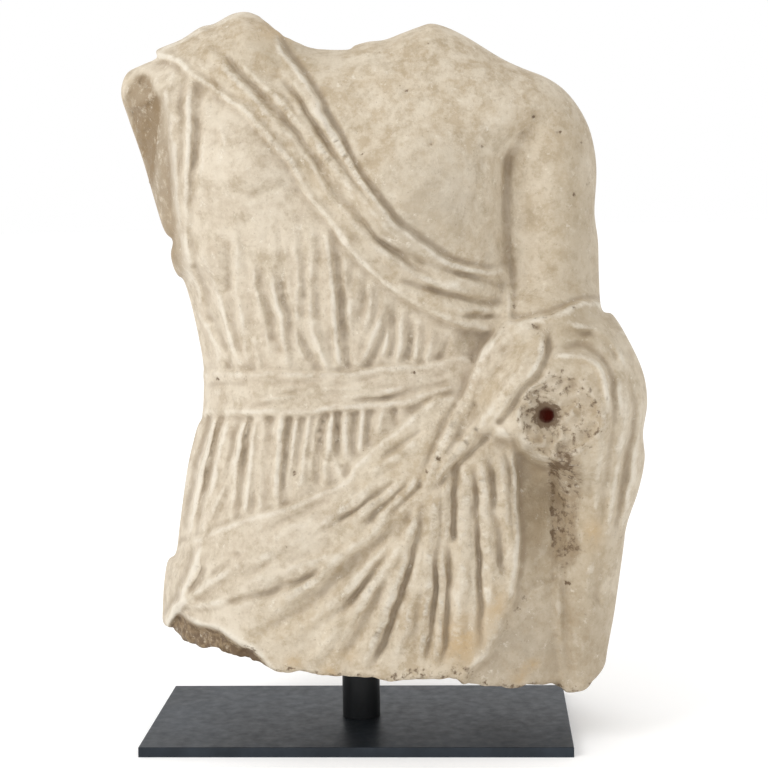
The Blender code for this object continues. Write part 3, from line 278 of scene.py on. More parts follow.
ROLL_FOLDS = [
    ([(146, 392), (128, 372), (112, 338), (97, 305), (82, 274), (72, 256)], 4.5, 6),
    ([(160, 384), (136, 352), (116, 318), (100, 291), (84, 262)], -4, 9),
    ([(172, 372), (152, 342), (130, 312), (108, 284), (88, 258)], 5, 8),
    ([(178, 362), (158, 334), (134, 304), (112, 280), (94, 260)], -3.5, 5),
]
ROLL_PLEATS = [(ROLL_LOW[::-1], ROLL_HIGH[::-1], 4, 1.6, 7, 0.3, 0.3)]
# Areas that stand back or forward, or are coloured
ARM_BREAK = [(-208, 634), (-195, 638), (-186, 622), (-183, 600), (-187, 575), (-191, 545), (-196, 520),
             (-200, 540), (-212, 585), (-217, 612)]
ARM_SIDE = [(-180, 618), (-175, 586), (-171, 545), (-169, 495), (-165, 430), (-200, 430), (-250, 540),
            (-250, 590), (-200, 606)]
SHADED_SIDE = [(157, 268), (155, 215), (157, 166), (148, 130), (138, 92), (118, 62), (104, 40), (100, -40),
               (190, -40), (190, 170), (190, 264)]
BROKEN_CORNER = [(171, 139), (159, 122), (145, 105), (139, 84), (120, 62), (104, 50), (100, 10),
                 (260, 10), (252, 60), (232, 118), (205, 141)]
CHIP = [(-210, 76), (-193, 91), (-180, 111), (-163, 101), (-138, 94), (-122, 79), (-109, 74),
        (-92, 56), (-88, 20), (-210, 20)]
TURNED_CORNER = [(-162, 184), (-164, 160), (-175, 140), (-191, 112), (-220, 112), (-220, 190)]
PITTED = [(190, 262), (216, 260), (218, 230), (212, 200), (216, 170), (204, 156), (191, 162)]
# Small pits and a drill hole, with half their width, and dark lines of dirt with painted shade under edges
# and lips and in creases
PITS = [(-134, 345, 2.2), (-107, 346, 2.2), (57, 349, 2), (174.5, 391, 3.6), (80, 265, 2.6), (68, 252, 2.2),
        (115, 317, 2), (78, 568, 2.4), (125, 564, 2.6), (174, 591, 2.4), (199, 576, 2), (219, 565, 2),
        (225, 527, 2.2), (212, 517, 1.8), (54, 617, 2), (39, 585, 1.8), (10, 558, 2.2), (-61, 251, 2)]
DIRT_AND_SHADE_LINES = [([(153, 446), (154, 425), (154, 402)], 0.3, 4),
               ([(134, 384), (155, 399), (178, 400), (204, 409), (232, 413)], 0.3, 3),
               ([(173, 140), (158, 122), (146, 104), (139, 84)], 0.3, 6), ([(199, 144), (208, 139)], 0.8, 3),
               ([(188, 268), (188, 200), (189, 160)], 0.3, 6),
               ([(180, 386), (183, 372), (182, 362)], 0.35, 3),
               ([(181, 258), (196, 255), (212, 257)], 0.45, 5)]
BROWN_ARC = [(150, 36), (157, 49), (168, 60), (180, 62)]
ARMPIT_HOLLOW = [(104, 389), (146, 390), (136, 375), (119, 361), (106, 370)]


def smooth(low, high, value):
    """0 below low, 1 above high, and an S-curve between them."""
    t = np.clip((value - low) / (high - low), 0.0, 1.0)
    return t * t * (3 - 2 * t)


def by_height(z, table):
    """A size that changes with height, from (height, size) pairs that go upwards."""
    heights, sizes = zip(*table)
    return np.interp(z, heights, sizes)


def through(points, step=2.0, closed=False):
    """A smooth curve through the points, as samples about a step apart."""
    pts = np.array(points, float)
    if closed:
        pts = np.vstack([pts[-1:], pts, pts[:2]])
    else:
        pts = np.vstack([2 * pts[:1] - pts[1:2], pts, 2 * pts[-1:] - pts[-2:-1]])
    made = []
    for a, b, c, d in zip(pts, pts[1:], pts[2:], pts[3:]):
        count = max(2, int(np.linalg.norm(c - b) / step))
        t = np.linspace(0, 1, count, endpoint=False)[:, None]
        made.append(0.5 * (2 * b + (c - a) * t + (2 * a - 5 * b + 4 * c - d) * t**2
                           + (3 * b - a - 3 * c + d) * t**3))
    if not closed:
        made.append(pts[-2:-1])
    return np.vstack(made)


def evenly(curve, count=120):
    """The same curve as a fixed number of samples, evenly spaced."""
    along = np.concatenate([[0], np.cumsum(np.linalg.norm(np.diff(curve, axis=0), axis=1))])
    at = np.linspace(0, along[-1], count)
    return np.stack([np.interp(at, along, curve[:, 0]), np.interp(at, along, curve[:, 1])], 1)


def between(low, high, share):
    """The curve that runs a share of the way from one edge to the other."""
    return evenly(through(low)) * (1 - share) + evenly(through(high)) * share


def beside(points, distance):
    """A curve moved to its left."""
    curve = evenly(through(points))
    tangent = np.gradient(curve, axis=0)
    tangent /= np.linalg.norm(tangent, axis=1)[:, None]
    return curve + distance * np.stack([-tangent[:, 1], tangent[:, 0]], 1)


def bowed(x0, z0, x1, z1, bow):
    """A shallow arc between two points."""
    start, end = np.array([x0, z0], float), np.array([x1, z1], float)
    t = np.linspace(0, 1, 24)[:, None]
    way = (end - start) / np.linalg.norm(end - start)
    return start + (end - start) * t + bow * 4 * t * (1 - t) * np.array([-way[1], way[0]])


class Sheet:
    """A sheet of drawing paper: a number for each square millimetre of the drawing."""

    x = np.arange(SHEET_LOW[0], SHEET_HIGH[0])
    z = np.arange(SHEET_LOW[1], SHEET_HIGH[1])
    X, Z = np.meshgrid(x, z)

    def __init__(self, values=0.0):
        self.a = np.zeros_like(self.X) + values

    def read(self, x, z):
        """The sheet's value at any points."""
        u = np.clip(x - self.x[0], 0, len(self.x) - 1.001)
        v = np.clip(z - self.z[0], 0, len(self.z) - 1.001)
        i, j = v.astype(int), u.astype(int)
        p, q = v - i, u - j
        a = self.a
        return ((a[i, j] * (1 - q) + a[i, j + 1] * q) * (1 - p)
                + (a[i + 1, j] * (1 - q) + a[i + 1, j + 1] * q) * p)

    def window(self, curve, reach):
        """The part of the sheet within reach of a curve, and its cells as points."""
        low, high = curve.min(0) - reach, curve.max(0) + reach
        j0, j1 = np.searchsorted(self.x, [low[0], high[0]])
        i0, i1 = np.searchsorted(self.z, [low[1], high[1]])
        part = (slice(i0, i1), slice(j0, j1))
        return part, np.stack([self.X[part], self.Z[part]], -1).reshape(-1, 2)

    def fold(self, curve, rise, half, fade=0.22, fade_end=0.22):
        """A crested ridge, or with rise below 0 a groove, along a curve, dying out at its ends."""
        part, cells = self.window(curve, half + 1)
        away, _, share = closest(curve, cells)
        ends = smooth(0, fade, share) * smooth(0, fade_end, 1 - share)
        self.a[part] += (rise * ends * crest(away / half)).reshape(self.X[part].shape)

    def lip(self, curve, rise, inner, outer, fade=0.1):
        """A cloth's edge: high along the curve, sinking slowly to its right and steeply to its left."""
        part, cells = self.window(curve, inner + 1)
        away, side, share = closest(curve, cells)
        slope = np.where(side > 0, 1 - smooth(0, outer, away), 1 - smooth(0, inner, away))
        ends = smooth(0, fade + 1e-3, share) * smooth(0, fade + 1e-3, 1 - share)
        self.a[part] += (rise * ends * slope).reshape(self.X[part].shape)

    def area(self, outline, rise, soft):
        """Everything inside an outline goes up or down, with a soft edge."""
        curve = through(outline, 3.0, closed=True)
        part, cells = self.window(curve, soft + 1)
        distance = inside_distance(curve, cells).reshape(self.X[part].shape)
        self.a[part] += rise * smooth(-soft, soft, distance)

    def dent(self, x, z, size, rise):
        """A small round pit."""
        part, cells = self.window(np.array([[x, z]]), 2.2 * size)
        away = np.linalg.norm(cells - [x, z], axis=1).reshape(self.X[part].shape)
        self.a[part] += rise * np.exp(-((away / size) ** 2))

    def mound(self, x, z, half_x, half_z, rise, power=1.0):
        """A round swelling."""
        d = ((self.X - x) / half_x) ** 2 + ((self.Z - z) / half_z) ** 2
        self.a += rise * np.exp(-(d**power))

    def lay(self, outline, thickness, soft, cloth, hem=0.0):
        """Put a cloth on top, with a rolled edge: inside its outline only its own folds show."""
        curve = through(outline, 3.0, closed=True)
        part, cells = self.window(curve, soft + 1)
        inner = inside_distance(curve, cells).reshape(self.X[part].shape)
        surface = thickness + cloth.a[part] + hem * np.exp(-(((inner - 2.5) / 3) ** 2))
        self.a[part] += smooth(-soft, soft, inner) * (surface - self.a[part])

    def pleats(self, first, second, count, rise, half, fade, fade_end, random):
        """Small folds side by side between two lines, the first of them with the cloth on its left."""
        lines = evenly(through(first)), evenly(through(second))
        part, cells = self.window(np.vstack(lines), half)
        (left, side, share), (right, other_side, other_share) = (closest(line, cells) for line in lines)
        left, right = left * side, -right * other_side
        width = np.maximum(left + right, 1)
        across = left / width
        along = share + (other_share - share) * np.clip(across, 0, 1)
        total = 0
        for turn in range(count):
            wave = 0.3 * np.sin(6.28 * (along * random.uniform(0.6, 1.3) + random.uniform(0, 1)))
            place = (turn + random.uniform(0.2, 0.8) + wave) / count
            start, end = random.uniform(0, 0.3), random.uniform(0.7, 1)
            if fade < 0.05:
                start = 0
            if fade_end < 0.05:
                end = 1
            ends = smooth(start, start + fade, along) * smooth(1 - end, 1 - end + fade_end, 1 - along)
            height = (-1) ** turn * rise * random.uniform(0.5, 1)
            reach = half * random.uniform(0.85, 1.3)
            total = total + height * ends * crest((across - place) * width / reach)
        self.a[part] += total.reshape(self.X[part].shape)


def crest(away):
    """A fold's cross-section: 1 on its line, 0 one half width away, with a fairly sharp crest."""
    away = np.clip(np.abs(away), 0, 1)
    return 0.4 * (0.5 + 0.5 * np.cos(np.pi * away)) + 0.6 * (1 - away) ** 1.3


def closest(curve, cells):
    """How far each cell is from a curve, on which side (1 for its left), and its share of the way along."""
    size = (curve**2).sum(1)
    nearest = np.empty(len(cells), int)
    for start in range(0, len(cells), 20000):
        some = cells[start:start + 20000]
        nearest[start:start + 20000] = (size[None] - 2 * some @ curve.T).argmin(1)
    away = np.full(len(cells), np.inf)
    side, share = np.zeros(len(cells)), np.zeros(len(cells))
    for first in (nearest - 1, nearest):
        first = np.clip(first, 0, len(curve) - 2)
        way = curve[first + 1] - curve[first]
        offset = cells - curve[first]
        t = np.clip((offset * way).sum(1) / (way**2).sum(1), 0, 1)
        gap = np.linalg.norm(offset - t[:, None] * way, axis=1)
        better = gap < away
        left = np.sign(way[:, 0] * offset[:, 1] - way[:, 1] * offset[:, 0])
        away, side = np.where(better, gap, away), np.where(better, left, side)
        share = np.where(better, (first + t) / (len(curve) - 1), share)
    return away, side, share


def inside_distance(curve, cells):
    """How far inside a closed curve each cell is; below 0 outside."""
    away = closest(np.vstack([curve, curve[:1]]), cells)[0]
    inside = np.zeros(len(cells), bool)
    for a, b in zip(curve, np.roll(curve, -1, axis=0)):
        if a[1] == b[1]:
            continue
        level = (cells[:, 1] > min(a[1], b[1])) & (cells[:, 1] <= max(a[1], b[1]))
        at = a[0] + (cells[level, 1] - a[1]) / (b[1] - a[1]) * (b[0] - a[0])
        inside[level] ^= cells[level, 0] > at
    return np.where(inside, away, -away)


def blurred(sheet, reach):
    """The sheet's values averaged over a square, three times."""
    a = sheet
    for _ in range(3):
        for axis in (0, 1):
            width = 2 * reach + 1
            padded = np.pad(a, [(reach + 1, reach) if k == axis else (0, 0) for k in (0, 1)], "edge")
            total = np.cumsum(padded, axis)
            far = np.take(total, np.arange(width, total.shape[axis]), axis)
            near = np.take(total, np.arange(total.shape[axis] - width), axis)
            a = (far - near) / width
    return a


def larger(a, b, blend):
    """The larger of two heights, with a fillet where they meet."""
    h = np.clip(0.5 + 0.5 * (a - b) / blend, 0, 1)
    return b + (a - b) * h + blend * h * (1 - h)


def trunk(X, Z, depths, right):
    """The body under the cloth, without its arm."""
    middle = by_height(Z, [(40, 2), (340, 0), (560, -6), (700, 0)])
    left = by_height(Z, [(40, 265), (200, 250), (340, 205), (500, 226), (640, 270)])
    across = np.where(X > middle, (X - middle) / by_height(Z, right), (middle - X) / left)
    power = np.where(X > middle, 3.6, 2.4)
    return by_height(Z, depths) * np.sqrt(1 - np.clip(across, 0, 1) ** power)


def limb(X, Z, centre, half, depth, top, power=2.0):
    """Something round that hangs down: its middle by height, and where it fades out at the top."""
    across = np.clip(np.abs(X - by_height(Z, centre)) / half, 0, 1)
    return by_height(Z, depth) * np.sqrt(1 - across**power) * (1 - smooth(top[0], top[1], Z))


def forearm(X, Z):
    """The forearm comes forward out of the cloth that wraps it, and is broken off."""
    dx, dz = X - STUMP[0], Z - STUMP[1]
    beyond = np.hypot(dx, dz) - STUMP_RADIUS
    angle = np.degrees(np.arctan2(dz, dx))
    below = smooth(-172, -150, angle) * (1 - smooth(-100, -60, angle))
    slope = 46 - 32 * below
    return STUMP_FRONT - 34 * smooth(-2, slope, beyond) - 0.9 * np.maximum(beyond - slope, 0)


def front_form():
    """How far the front stands out from y = 0, before its folds."""
    X, Z = Sheet.X, Sheet.Z
    depths = [(40, 110), (120, 114), (200, 111), (280, 101), (340, 92), (400, 94), (470, 101), (540, 99),
              (600, 84), (650, 64), (700, 48)]
    form = Sheet(trunk(X, Z, depths, TORSO_SIDE))
    form.mound(-104, 556, 46, 50, 20, 1.3)  # the veiled breast
    form.mound(62, 540, 56, 52, 15, 1.3)  # the bare breast
    form.mound(15, 225, 90, 70, 7)  # the belly
    form.mound(-110, 110, 70, 90, 9)  # the thigh that bears the weight
    arm = limb(X, Z, [(400, 199), (560, 194)], 56, ARM_DEPTH, (600, 660), 2.4)
    web = limb(X, Z, [(400, 150)], 32, [(400, 46), (560, 44)], (566, 606), 4.0)
    form.a = larger(form.a, larger(arm, web, 8), 8)
    fall = limb(X, Z, [(40, 240), (400, 240)], 54, FALL_DEPTH, (384, 412), 4.0)
    form.a = larger(form.a, fall, 6)
    form.a = larger(form.a, forearm(X, Z), 7)
    return form


def back_form():
    """How far the back stands out from y = 0, before its folds."""
    X, Z = Sheet.X, Sheet.Z
    depths = [(40, 104), (120, 112), (200, 112), (280, 95), (340, 80), (400, 82), (480, 92), (560, 98),
              (610, 88), (650, 68), (700, 48)]
    form = Sheet(trunk(X, Z, depths, BACK_SIDE))
    for side in (-1, 1):
        form.mound(75 * side, 560, 58, 55, 9)  # shoulder blade
        form.mound(75 * side, 180, 68, 70, 9)  # hip
    form.fold(through([(4, 640), (2, 520), (0, 400), (0, 300)]), -9, 34)  # the spine
    arm = limb(X, Z, [(300, 205), (400, 198), (560, 190)], 52, ARM_DEPTH, (600, 660))
    form.a = larger(form.a, arm, 6)
    fall = limb(X, Z, [(40, 222), (400, 226)], 74, FALL_BEHIND, (320, 420), 3.2)
    form.a = larger(form.a, fall, 8)
    return form


def back_strap(side):
    """The strap's lower (0) or upper (1) edge behind, from the shoulder to under the right arm."""
    width = 52 * side
    return [(-170 + 80 * side, 670 + 30 * side), (-70 + width, 590 + 0.3 * width),
            (40 + 0.8 * width, 480 + 0.6 * width), (170, 404 + width)]


def back_mantle():
    """The mantle's upper edge behind, which rises to the arm that carries it."""
    return [(-205, 170), (-150, 196), (-60, 226), (40, 262), (140, 318), (210, 372), (300, 400)]


def cloth(straight=(), curved=(), pleated=(), fade=0.2, fade_end=0.2):
    """The folds of one cloth, as a sheet of their own."""
    random = np.random.default_rng(5)
    made = Sheet()
    for x0, z0, x1, z1, bow, rise, half in straight:
        made.fold(bowed(x0, z0, x1, z1, bow), rise, half, fade, fade_end)
    for points, rise, half in curved:
        made.fold(through(points), rise, half)
    for pleats in pleated:
        made.pleats(*pleats, random)
    return made


def front_folds():
    """The carving of the front, cloth over cloth, and what has broken away."""
    relief = cloth(BODICE_FOLDS, fade=0.45, fade_end=0.03, pleated=CHITON_PLEATS)
    relief.a += cloth(SKIRT_FOLDS, fade=0.03, fade_end=0.2).a
    relief.a += cloth(SIDE_FOLDS).a
    relief.area(ARM_SIDE, -10, 5)
    relief.area(ARM_BREAK, -13, 8)
    girdle = cloth(GIRDLE_FOLDS, pleated=GIRDLE_PLEATS)
    relief.lay(GIRDLE_LOW + GIRDLE_TOP[::-1], 4.5, 2.5, girdle, 1.0)
    strap = cloth(curved=STRAP_FOLDS, pleated=STRAP_PLEATS)
    relief.lay(STRAP_LOW + STRAP_HIGH[::-1], 6, 3, strap, 2.0)
    relief.fold(beside(STRAP_HIGH, 2), -4.0, 6, 0.05, 0.05)
    relief.area(ARMPIT_HOLLOW, -5, 8)
    relief.a += cloth(curved=BODY_FOLDS).a
    mantle = cloth(MANTLE_FOLDS + LOWER_FOLDS, pleated=MANTLE_PLEATS)
    relief.lay(MANTLE_EDGE + MANTLE_SIDE + [(-240, -40)], 5.5, 2.5, mantle, 1.5)
    relief.area(TURNED_CORNER, -5, 4)
    sleeve = cloth(curved=SLEEVE_FOLDS, pleated=SLEEVE_PLEATS)
    relief.lay(SLEEVE_EDGE + [(330, 400), (330, -40), (189, -40), (190, 262), (150, 330)], 0, 4, sleeve)
    relief.lip(through(SLEEVE_EDGE), 8, 34, 5)
    relief.fold(beside(SLEEVE_EDGE, 3), -3.0, 4, 0.1, 0.1)
    relief.lay(BROKEN_CORNER, 3.0, 4, Sheet())
    relief.area(SHADED_SIDE, -7, 4)
    roll = cloth(curved=ROLL_FOLDS, pleated=ROLL_PLEATS)
    relief.lay(ROLL_HIGH + ROLL_LOW[::-1], 8.5, 3.5, roll, 2.0)
    relief.fold(beside(ROLL_LOW, 4), -4.0, 6, 0.1, 0.1)
    relief.fold(beside(ROLL_HIGH, -4), -2.5, 5, 0.2, 0.1)
    relief.area(CHIP, -15, 3)
    relief.a += stump_relief()
    for x, z, size in PITS:
        relief.dent(x, z, size, -1.3 * size)
    relief = worn(relief)
    relief.a -= DOWEL_DEPTH * (1 - smooth(DOWEL_RADIUS - 5, DOWEL_RADIUS + 1, dowel_distance()))
    return relief


def dowel_distance():
    """How far each square of the drawing is from the middle of the dowel's hole."""
    return np.hypot(Sheet.X - DOWEL_HOLE[0], Sheet.Z - DOWEL_HOLE[1])


def stump_relief():
    """The rough face of the forearm's stump, with a sunken patch round the hole of an old dowel."""
    X, Z = Sheet.X, Sheet.Z
    random = np.random.default_rng(8)
    away = np.hypot(X - STUMP[0], Z - STUMP[1]) + 3 * uneven(14, random)
    face = 1 - smooth(STUMP_RADIUS - 10, STUMP_RADIUS - 3, away)
    rim = np.exp(-(((away - STUMP_RADIUS + 4) / 4) ** 2))
    sunk = -6 * (1 - smooth(8, 20, dowel_distance() + 3 * uneven(8, random)))
    grit = 2.8 * uneven(11, random) + 2.8 * uneven(5, random)
    return (grit - 3.5) * face + 2.5 * rim * (1 + uneven(9, random)) + sunk


def uneven(size, random):
    """Random swells of about a given width, between -1 and 1."""
    u, v = (Sheet.X - SHEET_LOW[0]) / size, (Sheet.Z - SHEET_LOW[1]) / size
    grid = random.uniform(-1, 1, (int(v.max()) + 2, int(u.max()) + 2))
    i, j = v.astype(int), u.astype(int)
    p, q = smooth(0, 1, v - i), smooth(0, 1, u - j)
    low = grid[i, j] * (1 - q) + grid[i, j + 1] * q
    return low * (1 - p) + (grid[i + 1, j] * (1 - q) + grid[i + 1, j + 1] * q) * p


def worn(relief):
    """The carving with the wobble of handwork, its crests worn unevenly but its edges crisp."""
    random = np.random.default_rng(6)
    shift_x, shift_z = (1.3 * uneven(16, random) + 0.7 * uneven(7, random) for _ in range(2))
    moved = relief.read(Sheet.X + shift_x, Sheet.Z + shift_z)
    soft = blurred(moved * (1 + 0.2 * uneven(24, random) + 0.14 * uneven(9, random)), 1)
    return Sheet(soft + 0.5 * (soft - blurred(soft, 3)))


def weathering(seed, finest):
    """The block's worn and pitted face, down to the finest swell."""
    random = np.random.default_rng(seed)
    X, Z = Sheet.X, Sheet.Z
    face = Sheet(0.6 * rough(X, 0, Z, 47))
    for size in (26, 12, 6):
        if size >= finest:
            face.a += 0.026 * (size + 4) * uneven(size, random)
    for _ in range(DENTS):
        x, z = random.uniform(*zip(SHEET_LOW, SHEET_HIGH))
        size = random.uniform(1.5, 4.0)
        face.dent(x, z, size, -random.uniform(0.15, 0.4) * size)
    return face.a


def back_folds():
    """The plainer carving of the back."""
    relief = Sheet()
    relief.area(GIRDLE_LOW + [(200, 324), (200, 366)] + GIRDLE_TOP[::-1], 4, 3)
    relief.area(back_strap(0) + back_strap(1)[::-1], 8, 4)
    relief.area(back_mantle() + [(300, -40), (-240, -40)], 7, 4)
    for ridge in range(4):
        share = 0.12 + 0.25 * ridge
        relief.fold(between(back_strap(0), back_strap(1), share), 3.4, 9, 0.03, 0.06)
        relief.fold(between(back_strap(0), back_strap(1), share + 0.125), -3.6, 6, 0.03, 0.06)
    relief.fold(beside(back_mantle(), -6), 4, 7, 0.02, 0.1)
    relief.fold(beside(back_mantle(), 5), -3.5, 6, 0.02, 0.1)
    for pleat in range(14):
        x = -172 + 24 * pleat
        lean = 0.10 * x + 5 * math.sin(2.4 * pleat)
        relief.fold(bowed(x - lean, 500 - 0.8 * x, x + 4, 356, 3), (-1) ** pleat * 3.2, 8)
        relief.fold(bowed(x + 4, 312, x + 2 * lean, 190 + 0.4 * x, -2), -((-1) ** pleat) * 3.6, 8)
        low = x * 1.08
        relief.fold(bowed(low + 50, 250 + 0.35 * x, low, 50, 4), (-1) ** pleat * 4.2, 10, 0.25, 0.05)
    return relief


def turning():
    """How wide a band inside the outline turns away to the side."""
    X, Z = Sheet.X, Sheet.Z
    band = 84 - 38 * smooth(60, 150, X)
    band += (44 - band) * smooth(560, 640, Z)
    broken_arm = smooth(430, 470, Z) * (1 - smooth(560, 640, Z)) * (1 - smooth(-150, -90, X))
    return Sheet(band - 34 * broken_arm)


def rough(x, y, z, size):
    """An uneven surface, between about -1 and 1, as a sum of crossed waves."""
    total = 0
    for turn, (a, b, c) in enumerate([(1, 0.3, 0.5), (-0.4, 1, 0.6), (0.5, -0.6, 1), (1.6, 1.1, -1.3)]):
        total = total + np.sin((a * x + b * y + c * z) * 6.28 / size + 1.7 * turn)
    return total / 4


def drawn_at(x, y, z):
    """Where a point appears on the drawing, and how much further than the drawing it is."""
    further = (y - STATION[1]) / -STATION[1]
    return STATION[0] + (x - STATION[0]) / further, STATION[2] + (z - STATION[2]) / further, further


class Figure:
    """The marble as a field: how far inside it a point lies, in drawing units."""

    def __init__(self):
        curve = through(OUTLINE, 2.0, closed=True)
        cells = np.stack([Sheet.X, Sheet.Z], -1).reshape(-1, 2)
        self.outline = Sheet(inside_distance(curve, cells).reshape(Sheet.X.shape))
        self.turn = turning()
        self.front = front_form()
        self.back = back_form()
        hem = evenly(through(HEM), 200)
        further = (-STATION[1] - self.front.read(hem[:, 0], hem[:, 1])) / -STATION[1]
        self.hem = STATION[[0, 2]] + (hem - STATION[[0, 2]]) * further[:, None]
        self.roughness = 0
        self.broken = Sheet()

    def carve(self):
        """From the smooth form to the carved and broken one."""
        self.front.a += front_folds().a
        self.back.a += back_folds().a
        self.front.a += weathering(3, 6)
        self.back.a += weathering(4, 12)
        self.broken = broken_places()
        self.roughness = 1

    def inside(self, p):
        x, y, z = p.T
        u, v, further = drawn_at(x, y, z)
        from_side = self.outline.read(u, v) * further
        facing = np.minimum(y + self.front.read(u, v), self.back.read(u, v) - y)
        turn = self.turn.read(u, v)
        body = rounded(from_side, facing, turn)
        level = np.interp(x, self.hem[:, 0], self.hem[:, 1])
        broken = self.roughness * (3 * rough(x, y, z, 55) + 1.2 * rough(x, y, z, 23))
        around_post = np.exp(-(((x**2 + y**2) / 45**2) ** 2))
        under = z - level - broken * (1 - around_post)
        under += (level - DRAWN_SEAT) * around_post
        neck = np.sqrt(((x + 22) / 64) ** 2 + ((y - 4) / 44) ** 2 + ((z - 684) / 30) ** 2)
        solid = rounded(body, under, EDGE_ROUND)
        solid -= self.broken.read(u, v) * (y < 0) * (1.8 * rough(x, y, z, 29) + 1.6 * rough(x, y, z, 14))
        solid = rounded(solid, (neck - 1) * 30 + self.roughness * rough(x, y, z, 23), 3)
        return np.minimum(solid, np.maximum(np.hypot(x, y) - SOCKET_RADIUS, z - DRAWN_SEAT - SOCKET_DEPTH))


def rounded(a, b, radius):
    """Inside both a and b, with a round edge where they meet."""
    corner = np.hypot(np.maximum(radius - a, 0), np.maximum(radius - b, 0))
    return np.maximum(radius, np.minimum(a, b)) - corner


def skin(figure, step):
    """A closed mesh of squares, a step wide, over the surface of a field."""
    axes = [np.arange(low, high, step) for low, high in zip(BLOCK_LOW, BLOCK_HIGH)]
    points = np.stack(np.meshgrid(*axes, indexing="ij"), -1)
    value = figure.inside(points.reshape(-1, 3)).reshape(points.shape[:3])
    cells = np.array(value.shape) - 1
    index = np.arange(cells.prod()).reshape(cells)
    total, count = np.zeros((cells.prod(), 3)), np.zeros(cells.prod())
    quads = []
    for axis in range(3):
        start = np.take(value, np.arange(cells[axis]), axis)
        end = np.take(value, np.arange(1, cells[axis] + 1), axis)
        crossing = (start > 0) != (end > 0)
        where = np.argwhere(crossing)
        crossed = where.astype(float)
        crossed[:, axis] += start[crossing] / (start[crossing] - end[crossing])
        corners = []
        for b, c in ((-1, -1), (0, -1), (0, 0), (-1, 0)):
            cell = where.copy()
            cell[:, (axis + 1) % 3] += b
            cell[:, (axis + 2) % 3] += c
            corner = index[tuple(cell.T)]
            np.add.at(total, corner, crossed)
            np.add.at(count, corner, 1)
            corners.append(corner)
        quad = np.stack(corners, 1)
        quads.append(np.where(start[crossing][:, None] > 0, quad, quad[:, ::-1]))
    used, faces = np.unique(np.vstack(quads), return_inverse=True)
    return BLOCK_LOW + step * total[used] / count[used][:, None], faces.reshape(-1, 4)


def split(points, faces):
    """Each square becomes four."""
    sides = np.stack([faces, np.roll(faces, -1, axis=1)], -1).reshape(-1, 2)
    sides.sort(axis=1)
    unique, which = np.unique(sides, axis=0, return_inverse=True)
    mid = which.reshape(-1, 4) + len(points)
    centre = np.arange(len(faces)) + len(points) + len(unique)
    made = np.vstack([points, points[unique].mean(1), points[faces].mean(1)])
    parts = [np.stack([faces[:, i], mid[:, i], centre, mid[:, i - 1]], 1) for i in range(4)]
    return made, np.stack(parts, 1).reshape(-1, 4)


def settle(figure, points, reach):
    """Move points on to the surface of a field, by no more than a reach at a time."""
    h = 0.5
    for _ in range(2):
        value = figure.inside(points)
        slope = np.stack([(figure.inside(points + h * axis) - value) / h for axis in np.eye(3)], 1)
        step = slope * (value / np.maximum((slope**2).sum(1), 0.3))[:, None]
        length = np.linalg.norm(step, axis=1)[:, None]
        points = points - step * np.minimum(1, reach / np.maximum(length, 1e-6))
    return points


def relax(points, faces, amount):
    """Even out the mesh: each point moves towards the middle of its neighbours."""
    here = np.concatenate([faces, np.roll(faces, 1, axis=1)]).ravel()
    there = np.concatenate([np.roll(faces, 1, axis=1), faces]).ravel()
    count = np.bincount(here, minlength=len(points))
    total = [np.bincount(here, points[there, axis], len(points)) for axis in range(3)]
    return points + amount * (np.stack(total, 1) / count[:, None] - points)


def figure_mesh(figure):
    """The carved figure's points and squares, in drawing units."""
    points, faces = skin(figure, BLOCK_STEP)
    for _ in range(3):
        points = settle(figure, relax(points, faces, 0.5), FIRST_REACH)
    figure.carve()
    for reach in ((FIRST_REACH, LAST_REACH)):
        points, faces = split(points, faces)
        for _ in range(3):
            points = settle(figure, relax(points, faces, 0.5), reach)
    return relax(points, faces, 0.4), faces


def broken_places():
    """Where the front shows a break: 1 there and 0 elsewhere."""
    made = Sheet()
    for outline, amount in ((ARM_BREAK, 0.8), (CHIP, 1.2), (PITTED, 0.6)):
        made.area(outline, amount, 3)
    return made


def tones():
    """What colours the front: breaks, soil with dark lines of dirt and painted shade, stains, greyer patches,
    painted shade on the darker side and in the recess, and the paler tunic.
    """
    made = {name: Sheet() for name in ("ochre", "grey", "shade", "tunic", "soil_and_shade")}
    places_by_name = {"ochre": OCHRE_PLACES, "grey": GREY_PLACES, "shade": SHADE_PLACES, "soil_and_shade": SOIL_PLACES}
    for name, places in places_by_name.items():
        for x, z, half_x, half_z, amount in places:
            made[name].mound(x, z, half_x, half_z, amount)
    made["ochre"].fold(through(BROWN_ARC), 1.0, 9)
    made["tunic"].area(STRAP_LOW + GIRDLE_LOW[:3:-1] + MANTLE_EDGE[:6:-1] + [(-60, 150), (-240, 60)], 1, 10)
    made["broken"] = broken_places()
    for name, outline, amount, soft in (("broken", BROKEN_CORNER, 0.2, 10), ("broken", ARM_SIDE, 0.75, 10),
                                        ("soil_and_shade", CHIP, 0.42, 3), ("soil_and_shade", PITTED, 0.3, 5)):
        made[name].area(outline, amount, soft)
    made["broken"].mound(172, 222, 17, 76, 0.45, 2.0)  # painted shade with brown patina on the recess's side, in the break's brown
    away = np.hypot(Sheet.X - STUMP[0], Sheet.Z - STUMP[1])
    made["broken"].a += 0.2 * (1 - smooth(STUMP_RADIUS - 4, STUMP_RADIUS + 6, away))
    made["soil_and_shade"].a += 0.25 * (1 - smooth(STUMP_RADIUS - 6, STUMP_RADIUS + 8, away))
    made["soil_and_shade"].a += 0.6 * (1 - smooth(7, 17, dowel_distance()))
    for x, z, size in PITS:
        made["soil_and_shade"].dent(x, z, size, 0.6)
    # Painted shade with dirt: dark lines under the sleeve's edge and the stump's lip and along the creases
    for points, amount, half in DIRT_AND_SHADE_LINES:
        made["soil_and_shade"].fold(through(points), amount, half)
    made["rust"] = Sheet(1 - smooth(DOWEL_RADIUS, DOWEL_RADIUS + 2.5, dowel_distance()))
    return made


